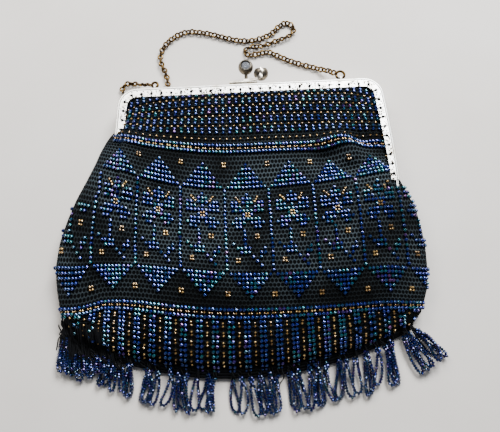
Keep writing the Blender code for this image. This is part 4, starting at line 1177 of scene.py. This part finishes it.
# %% [markdown]
# ## The sewing thread
#
# The cloth hangs in the frame by thread: one stitch goes out through each hole and over the frame's
# inner edge. Each stitch is half a ring of thread, spun from a small circle and stood across the edge,
# with a flat black knot in the hole, which is also painted shade: the dark of the hole. The same thread
# carries the fringe, and three cords of it along the seam are the heading that the strands hang from.
# Their black also fills the band of shade along the seam, as painted shade.

# %% Stitches
HOLE_INSET = 1.8 * MM
SEW_PITCH = 5.8 * MM
LAST_HOLE_DOWN = 62.4 * MM
STITCH_RADIUS = 1.3 * MM
SEWING_THREAD = 0.24 * MM
HOLE_SHADE_KNOT_RADIUS = 0.82 * MM
HOLE_SHADE_KNOT_HEIGHT = 0.62 * MM


def hole_line():
    """The line that the sewing holes follow on the right half, from the middle to the end of the arm."""
    centre = np.array([FRAME_HALF_WIDTH - CORNER_RADIUS, -CORNER_RADIUS])
    reach = CORNER_RADIUS - FACE_WIDTH + HOLE_INSET
    line = [np.array([0, -CORNER_RADIUS + reach])]
    for turn in np.linspace(0, math.pi / 2, 9):
        line.append(centre + reach * np.array([math.sin(turn), math.cos(turn)]))
    for share in np.linspace(0, 1, 8)[1:]:
        drop = CORNER_RADIUS + (LAST_HOLE_DOWN - CORNER_RADIUS) * share
        bow = ARM_BOW * math.sin(math.pi / 2 * (drop - CORNER_RADIUS) / (FRAME_ARM - CORNER_RADIUS))
        line.append(np.array([FRAME_HALF_WIDTH + bow - FACE_WIDTH + share * MM + HOLE_INSET, -drop]))
    return np.array(line)


def stitch_ring(bm, place, inward, side):
    """Half a ring of thread from the hole over the inner edge, and a black knot in the hole that is also
    painted shade of the hole.
    """
    thread = bmesh.new()
    circle = bmesh.ops.create_circle(thread, segments=6, radius=SEWING_THREAD, cap_ends=True)["verts"]
    bmesh.ops.translate(thread, vec=(STITCH_RADIUS, 0, 0), verts=circle)
    faces = list(thread.faces)
    bmesh.ops.spin(
        thread, geom=faces, cent=(0, 0, 0), axis=(0, -1, 0), angle=math.pi, steps=7
    )
    bmesh.ops.scale(thread, vec=(1, 1, 0.6), verts=thread.verts)
    # The knot: black thread, and painted shade of the hole.
    hole_shade_knot = bmesh.ops.create_uvsphere(thread, u_segments=10, v_segments=6, radius=HOLE_SHADE_KNOT_RADIUS)["verts"]
    bmesh.ops.scale(thread, vec=(1, 1, 0.45), verts=hole_shade_knot)
    bmesh.ops.translate(thread, vec=(-STITCH_RADIUS, 0, HOLE_SHADE_KNOT_HEIGHT), verts=hole_shade_knot)
    across = Vector((*inward, 0))
    up = Vector((0, 0, side))
    turn = Matrix((across, up.cross(across), up)).transposed().to_4x4()
    bmesh.ops.transform(thread, matrix=Matrix.Translation(place) @ turn, verts=thread.verts)
    bmesh.ops.recalc_face_normals(thread, faces=thread.faces)
    pour(thread, bm)


def all_stitches():
    right = hole_line()
    lengths = lengths_along(right)
    count = math.floor((2 * lengths[-1] - 2.6 * MM) / SEW_PITCH)
    goals = (np.arange(count + 1) - count / 2) * SEW_PITCH
    bm = bmesh.new()
    for goal in goals:
        sign = -1 if goal < 0 else 1
        spot = point_at(abs(goal), lengths, right)
        ahead = point_at(abs(goal) + MM, lengths, right) - spot
        inward = np.array([ahead[1], -ahead[0]])
        if np.linalg.norm(inward) < 1e-9:
            inward = np.array([-1.0, 0.0])
        inward = inward / np.linalg.norm(inward)
        inward[0] *= sign
        spot[0] *= sign
        middle = spot + inward * STITCH_RADIUS
        for side, height in ((1, FRAME_TOP - 0.35 * MM), (-1, FRAME_REST + 0.35 * MM)):
            place = Vector((middle[0] + ORIGIN[0], middle[1] + ORIGIN[1], height))
            stitch_ring(bm, place, inward, side)
    print(len(goals), "stitches on each half")
    return bm


# %% Thread
# Cotton thread: deep black without gloss, with a fine twist.
thread_black, tree, shader = new_material("black cotton thread")
coords = add(tree, "ShaderNodeTexCoord").outputs["Object"]
fibres = add(tree, "ShaderNodeTexNoise", {"Vector": coords, "Scale": 2400.0, "Detail": 2.0})
tones = add(tree, "ShaderNodeValToRGB", {0: fibres}, stops=[(0.35, "#020203"), (0.7, "#0c0d10")])
twist = add(tree, "ShaderNodeBump", {"Height": fibres, "Distance": 0.08 * MM, "Strength": 0.7})
feed(tree, shader, {"Base Color": tones, "Roughness": 0.85, "Specular IOR Level": 0.12, "Normal": twist})
to_piece("frame_stitches", all_stitches(), thread_black)
thread_lines = thread_mesh("fringe threads", threads, 0.36 * MM)
mesh_to_piece("fringe_threads", thread_lines, thread_black)


# %% Heading of the fringe
def heading_lines():
    """Three cords side by side along the seam."""
    way = np.gradient(SEAM, axis=0)
    way /= np.linalg.norm(way, axis=1, keepdims=True)
    outward = np.column_stack([way[:, 1], -way[:, 0]])
    fade = np.sin(np.linspace(0, math.pi, len(SEAM))) ** 0.35
    lines = []
    # Millimetres outward from the seam, and height.
    for aside, height in ((-0.4, 3.9), (1.3, 2.9), (2.9, 2.0)):
        flat = SEAM + outward * (aside * MM * fade)[:, None] + ORIGIN[:2]
        lines.append(np.column_stack([flat, np.full(len(flat), height * MM)]))
    return lines


# The black cords are the heading, and they are also painted shade for the dark band along the seam.
heading = thread_mesh("fringe heading", heading_lines(), 1.25 * MM, roundness=2)
mesh_to_piece("fringe_heading", heading, thread_black)

# %% [markdown]
# ## The clasp
#
# Two knobs snap past each other. The one on the back half is a cup that holds a faceted stone; the one on
# the front half is a plain ball, held by a flat bar with an arm that curls over it. The cup is a profile
# spun round its axis, the ball a sphere cut flat behind, the bar a bevelled block, and the arm a ribbon
# grown edge by edge along its route and then given a thickness.

# %% Nickel
# Nickel plate over brass: a warm grey mirror with fine wear scratches and a yellow tone where it is thin.
# The knobs get darker tones than the bar and the arm: painted shade, for the dark bag that they mirror.
def nickel_plate(name, worn_tone, middle_tone, bright_tone):
    made, tree, shader = new_material(name)
    coords = add(tree, "ShaderNodeTexCoord").outputs["Object"]
    wear = add(tree, "ShaderNodeTexNoise", {"Vector": coords, "Scale": 260.0, "Detail": 4.0})
    tones = add(tree, "ShaderNodeValToRGB", {0: wear}, stops=[
        (0.35, worn_tone), (0.55, middle_tone), (0.75, bright_tone),
    ])
    scratches = add(tree, "ShaderNodeTexNoise", {"Vector": coords, "Scale": 2600.0, "Detail": 2.0})
    matt = add(tree, "ShaderNodeMapRange", {0: wear, 3: 0.26, 4: 0.40})
    fine = add(tree, "ShaderNodeBump", {"Height": scratches, "Distance": 0.01 * MM, "Strength": 0.25})
    feed(tree, shader, {"Base Color": tones, "Metallic": 1.0, "Roughness": matt, "Normal": fine})
    return made


nickel = nickel_plate("nickel-plated brass", "#9a9184", "#c8c1b4", "#dcd2bc")
# Darker copy for the knobs: painted shade, for the dark bag that they mirror.
shaded_nickel = nickel_plate("nickel plate on the knobs with painted shade", "#4c453a", "#766e61", "#978c78")

# %% Cup for the stone
STONE_KNOB_RADIUS = 4.5 * MM
STONE_KNOB_AT = Vector((-0.444, 2.511, 2.889)) * STONE_KNOB_RADIUS + Vector(ORIGIN)
PLAIN_KNOB_RADIUS = 4.35 * MM
PLAIN_KNOB_AT = Vector((1.586, 1.517, 3.08)) * PLAIN_KNOB_RADIUS + Vector(ORIGIN)
STONE_RADIUS = 2.6 * MM
LIP_SHARE = 0.62
PARTING_HEIGHT = 9.675 * MM


def spun(profile, steps):
    """A closed shape from a profile of (radius, height), spun about Z."""
    bm = bmesh.new()
    corners = [bm.verts.new((radius, 0, height)) for radius, height in profile]
    edges = [bm.edges.new(pair) for pair in zip(corners, corners[1:])]
    bmesh.ops.spin(
        bm, geom=corners + edges, cent=(0, 0, 0), axis=(0, 0, 1), angle=math.tau, steps=steps, use_merge=True
    )
    bmesh.ops.remove_doubles(bm, verts=bm.verts, dist=0.002 * MM)
    bmesh.ops.recalc_face_normals(bm, faces=bm.faces)
    return bm


def cup_profile():
    lip = LIP_SHARE * STONE_KNOB_RADIUS
    rim = math.sqrt(STONE_KNOB_RADIUS**2 - lip**2)
    top = lip + 0.25 * MM
    seat = STONE_RADIUS + 0.35 * MM
    ball = [
        (STONE_KNOB_RADIUS * math.cos(angle), STONE_KNOB_RADIUS * math.sin(angle))
        for angle in np.linspace(math.asin(LIP_SHARE), -math.pi / 2 + 0.02, 18)
    ]
    return [
        (0, top - 3.0 * MM), (seat, top - 1.0 * MM), (seat, top - 0.12 * MM), (seat + 0.14 * MM, top),
        (rim - 0.34 * MM, top), (rim - 0.1 * MM, top - 0.14 * MM), *ball, (0, -STONE_KNOB_RADIUS),
    ]


def add_bar(bm, start, end, radius, sides=16):
    """A straight round bar between two points, joined to what bm holds."""
    start, end = Vector(start), Vector(end)
    made = bmesh.ops.create_cone(
        bm, cap_ends=True, segments=sides, radius1=radius, radius2=radius, depth=(end - start).length
    )["verts"]
    turn = Vector((0, 0, 1)).rotation_difference(end - start).to_matrix().to_4x4()
    bmesh.ops.transform(bm, matrix=Matrix.Translation((start + end) / 2) @ turn, verts=made)


def add_plate(bm, low, high, ease):
    """A block between two corners with eased edges, joined to what bm holds."""
    made = bmesh.ops.create_cube(bm, size=1.0)["verts"]
    bmesh.ops.scale(bm, vec=Vector(high) - Vector(low), verts=made)
    bmesh.ops.translate(bm, vec=(Vector(low) + Vector(high)) / 2, verts=made)
    edges = list({edge for vertex in made for edge in vertex.link_edges})
    bmesh.ops.bevel(
        bm, geom=edges, offset=ease, affect="EDGES", segments=3, profile=0.5, material=-1
    )


cup_bm = spun(cup_profile(), 40)
bmesh.ops.translate(cup_bm, vec=STONE_KNOB_AT, verts=cup_bm.verts)
foot = Vector((STONE_KNOB_AT.x, ORIGIN[1] + 0.85 * MM, PARTING_HEIGHT - 2.4 * MM))
add_bar(cup_bm, foot, STONE_KNOB_AT - Vector((0, 0.55, 0.25)) * STONE_KNOB_RADIUS, 1.0 * MM)
add_plate(
    cup_bm, foot - Vector((4.5, 0.5, 1.6)) * MM, foot + Vector((4.5, 0.5, 1.6)) * MM, 0.3 * MM
)
cup = to_piece("stone_cup", cup_bm, shaded_nickel, smooth=35)
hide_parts("back_clasp")

# %% Ball
ball_bm = bmesh.new()
bmesh.ops.create_uvsphere(ball_bm, u_segments=40, v_segments=24, radius=PLAIN_KNOB_RADIUS)
flat_way = Vector((0.0, 0.92, 0.39)).normalized()
cut = bmesh.ops.bisect_plane(
    ball_bm, geom=ball_bm.verts[:] + ball_bm.edges[:] + ball_bm.faces[:],
    plane_co=flat_way * PLAIN_KNOB_RADIUS * 0.70, plane_no=flat_way, clear_outer=True,
)
rim_edges = [piece for piece in cut["geom_cut"] if isinstance(piece, bmesh.types.BMEdge)]
bmesh.ops.contextual_create(ball_bm, geom=rim_edges)
bmesh.ops.bevel(
    ball_bm, geom=rim_edges, offset=0.35 * MM, affect="EDGES", segments=3, profile=0.5, material=-1
)
bmesh.ops.translate(ball_bm, vec=PLAIN_KNOB_AT, verts=ball_bm.verts)
to_piece("plain_ball", ball_bm, shaded_nickel, smooth=35)

# %% Bar and curled arm
BAR_LEFT, BAR_LENGTH, BAR_HEIGHT = -12.3 * MM, 16.5 * MM, 3.2 * MM
ARM_THICKNESS = 0.8 * MM
bar_top = FRAME_TOP - 0.3 * MM
clasp_bm = bmesh.new()
add_plate(
    clasp_bm,
    Vector((BAR_LEFT, 0.35 * MM, bar_top - BAR_HEIGHT)) + Vector(ORIGIN),
    Vector((BAR_LEFT + BAR_LENGTH, 1.55 * MM, bar_top)) + Vector(ORIGIN),
    0.3 * MM,
)
bar_end = Vector((BAR_LEFT + BAR_LENGTH, 1.25 * MM, bar_top - BAR_HEIGHT / 2)) + Vector(ORIGIN)
# place, half width in millimetres
arm_route = [
    (bar_end + Vector((-8.0, 0.2, 1.7)) * MM, 0.7), (bar_end + Vector((-3.5, 0.4, 1.9)) * MM, 0.8),
    (bar_end + Vector((0.2, 0.9, 2.6)) * MM, 0.95), (bar_end + Vector((2.4, 1.8, 3.9)) * MM, 1.15),
    (PLAIN_KNOB_AT + Vector((-0.06, -0.58, 0.93)) * PLAIN_KNOB_RADIUS, 1.25),
    (PLAIN_KNOB_AT + Vector((0.04, -0.15, 1.12)) * PLAIN_KNOB_RADIUS, 1.2),
    (PLAIN_KNOB_AT + Vector((0.06, 0.26, 1.08)) * PLAIN_KNOB_RADIUS, 0.9),
]


def ribbon(route):
    """A strip along a route of (place, half width), which turns a little at each step."""
    bm = bmesh.new()
    crosswise = Vector((-0.35, 0.93, 0.0)).normalized()
    place, half_width = route[0]
    pair = [bm.verts.new(place + crosswise * half_width * MM * side) for side in (-1, 1)]
    edge = bm.edges.new(pair)
    for number, (place, half_width) in enumerate(route[1:]):
        crosswise = Vector((-0.35 - 0.10 * number, 0.93, 0.0)).normalized()
        grown = bmesh.ops.extrude_edge_only(bm, edges=[edge])["geom"]
        pair = [piece for piece in grown if isinstance(piece, bmesh.types.BMVert)]
        edge = next(piece for piece in grown if isinstance(piece, bmesh.types.BMEdge))
        pair.sort(key=lambda vertex: vertex.co.dot(crosswise))
        for vertex, side in zip(pair, (-1, 1)):
            vertex.co = place + crosswise * half_width * MM * side
    bmesh.ops.recalc_face_normals(bm, faces=bm.faces)
    return bm


arm_bm = ribbon(arm_route)
bmesh.ops.subdivide_edges(arm_bm, edges=arm_bm.edges[:], cuts=3, use_grid_fill=True, smooth=0.6)
bmesh.ops.solidify(arm_bm, geom=arm_bm.faces[:], thickness=ARM_THICKNESS)
bmesh.ops.recalc_face_normals(arm_bm, faces=arm_bm.faces)
pour(arm_bm, clasp_bm)
bmesh.ops.remove_doubles(clasp_bm, verts=clasp_bm.verts, dist=0.001 * MM)
bmesh.ops.recalc_face_normals(clasp_bm, faces=clasp_bm.faces)
clasp = to_piece("bar_and_arm", clasp_bm, nickel, smooth=35)
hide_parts("front_clasp")

# %% Stone
# Cut glass on foil: clear, with bright and dark facets, and the silver of the foil showing through.
crystal, tree, shader = new_material("foil-backed cut glass")
coords = add(tree, "ShaderNodeTexCoord").outputs["Object"]
haze = add(tree, "ShaderNodeTexNoise", {"Vector": coords, "Scale": 300.0, "Detail": 2.0})
tones = add(tree, "ShaderNodeValToRGB", {0: haze}, stops=[(0.3, "#83868d"), (0.7, "#c3c6cd")])
feed(tree, shader, {
    "Base Color": tones, "Metallic": 0.7, "Roughness": 0.07, "Coat Weight": 1.0, "Coat Roughness": 0.02,
})
coat(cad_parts["clasp_stone"].data, crystal)

# %% [markdown]
# ## Closing
#
# The scene is brought up to date at the end.

# %% Bring the scene up to date
bpy.context.view_layer.update()
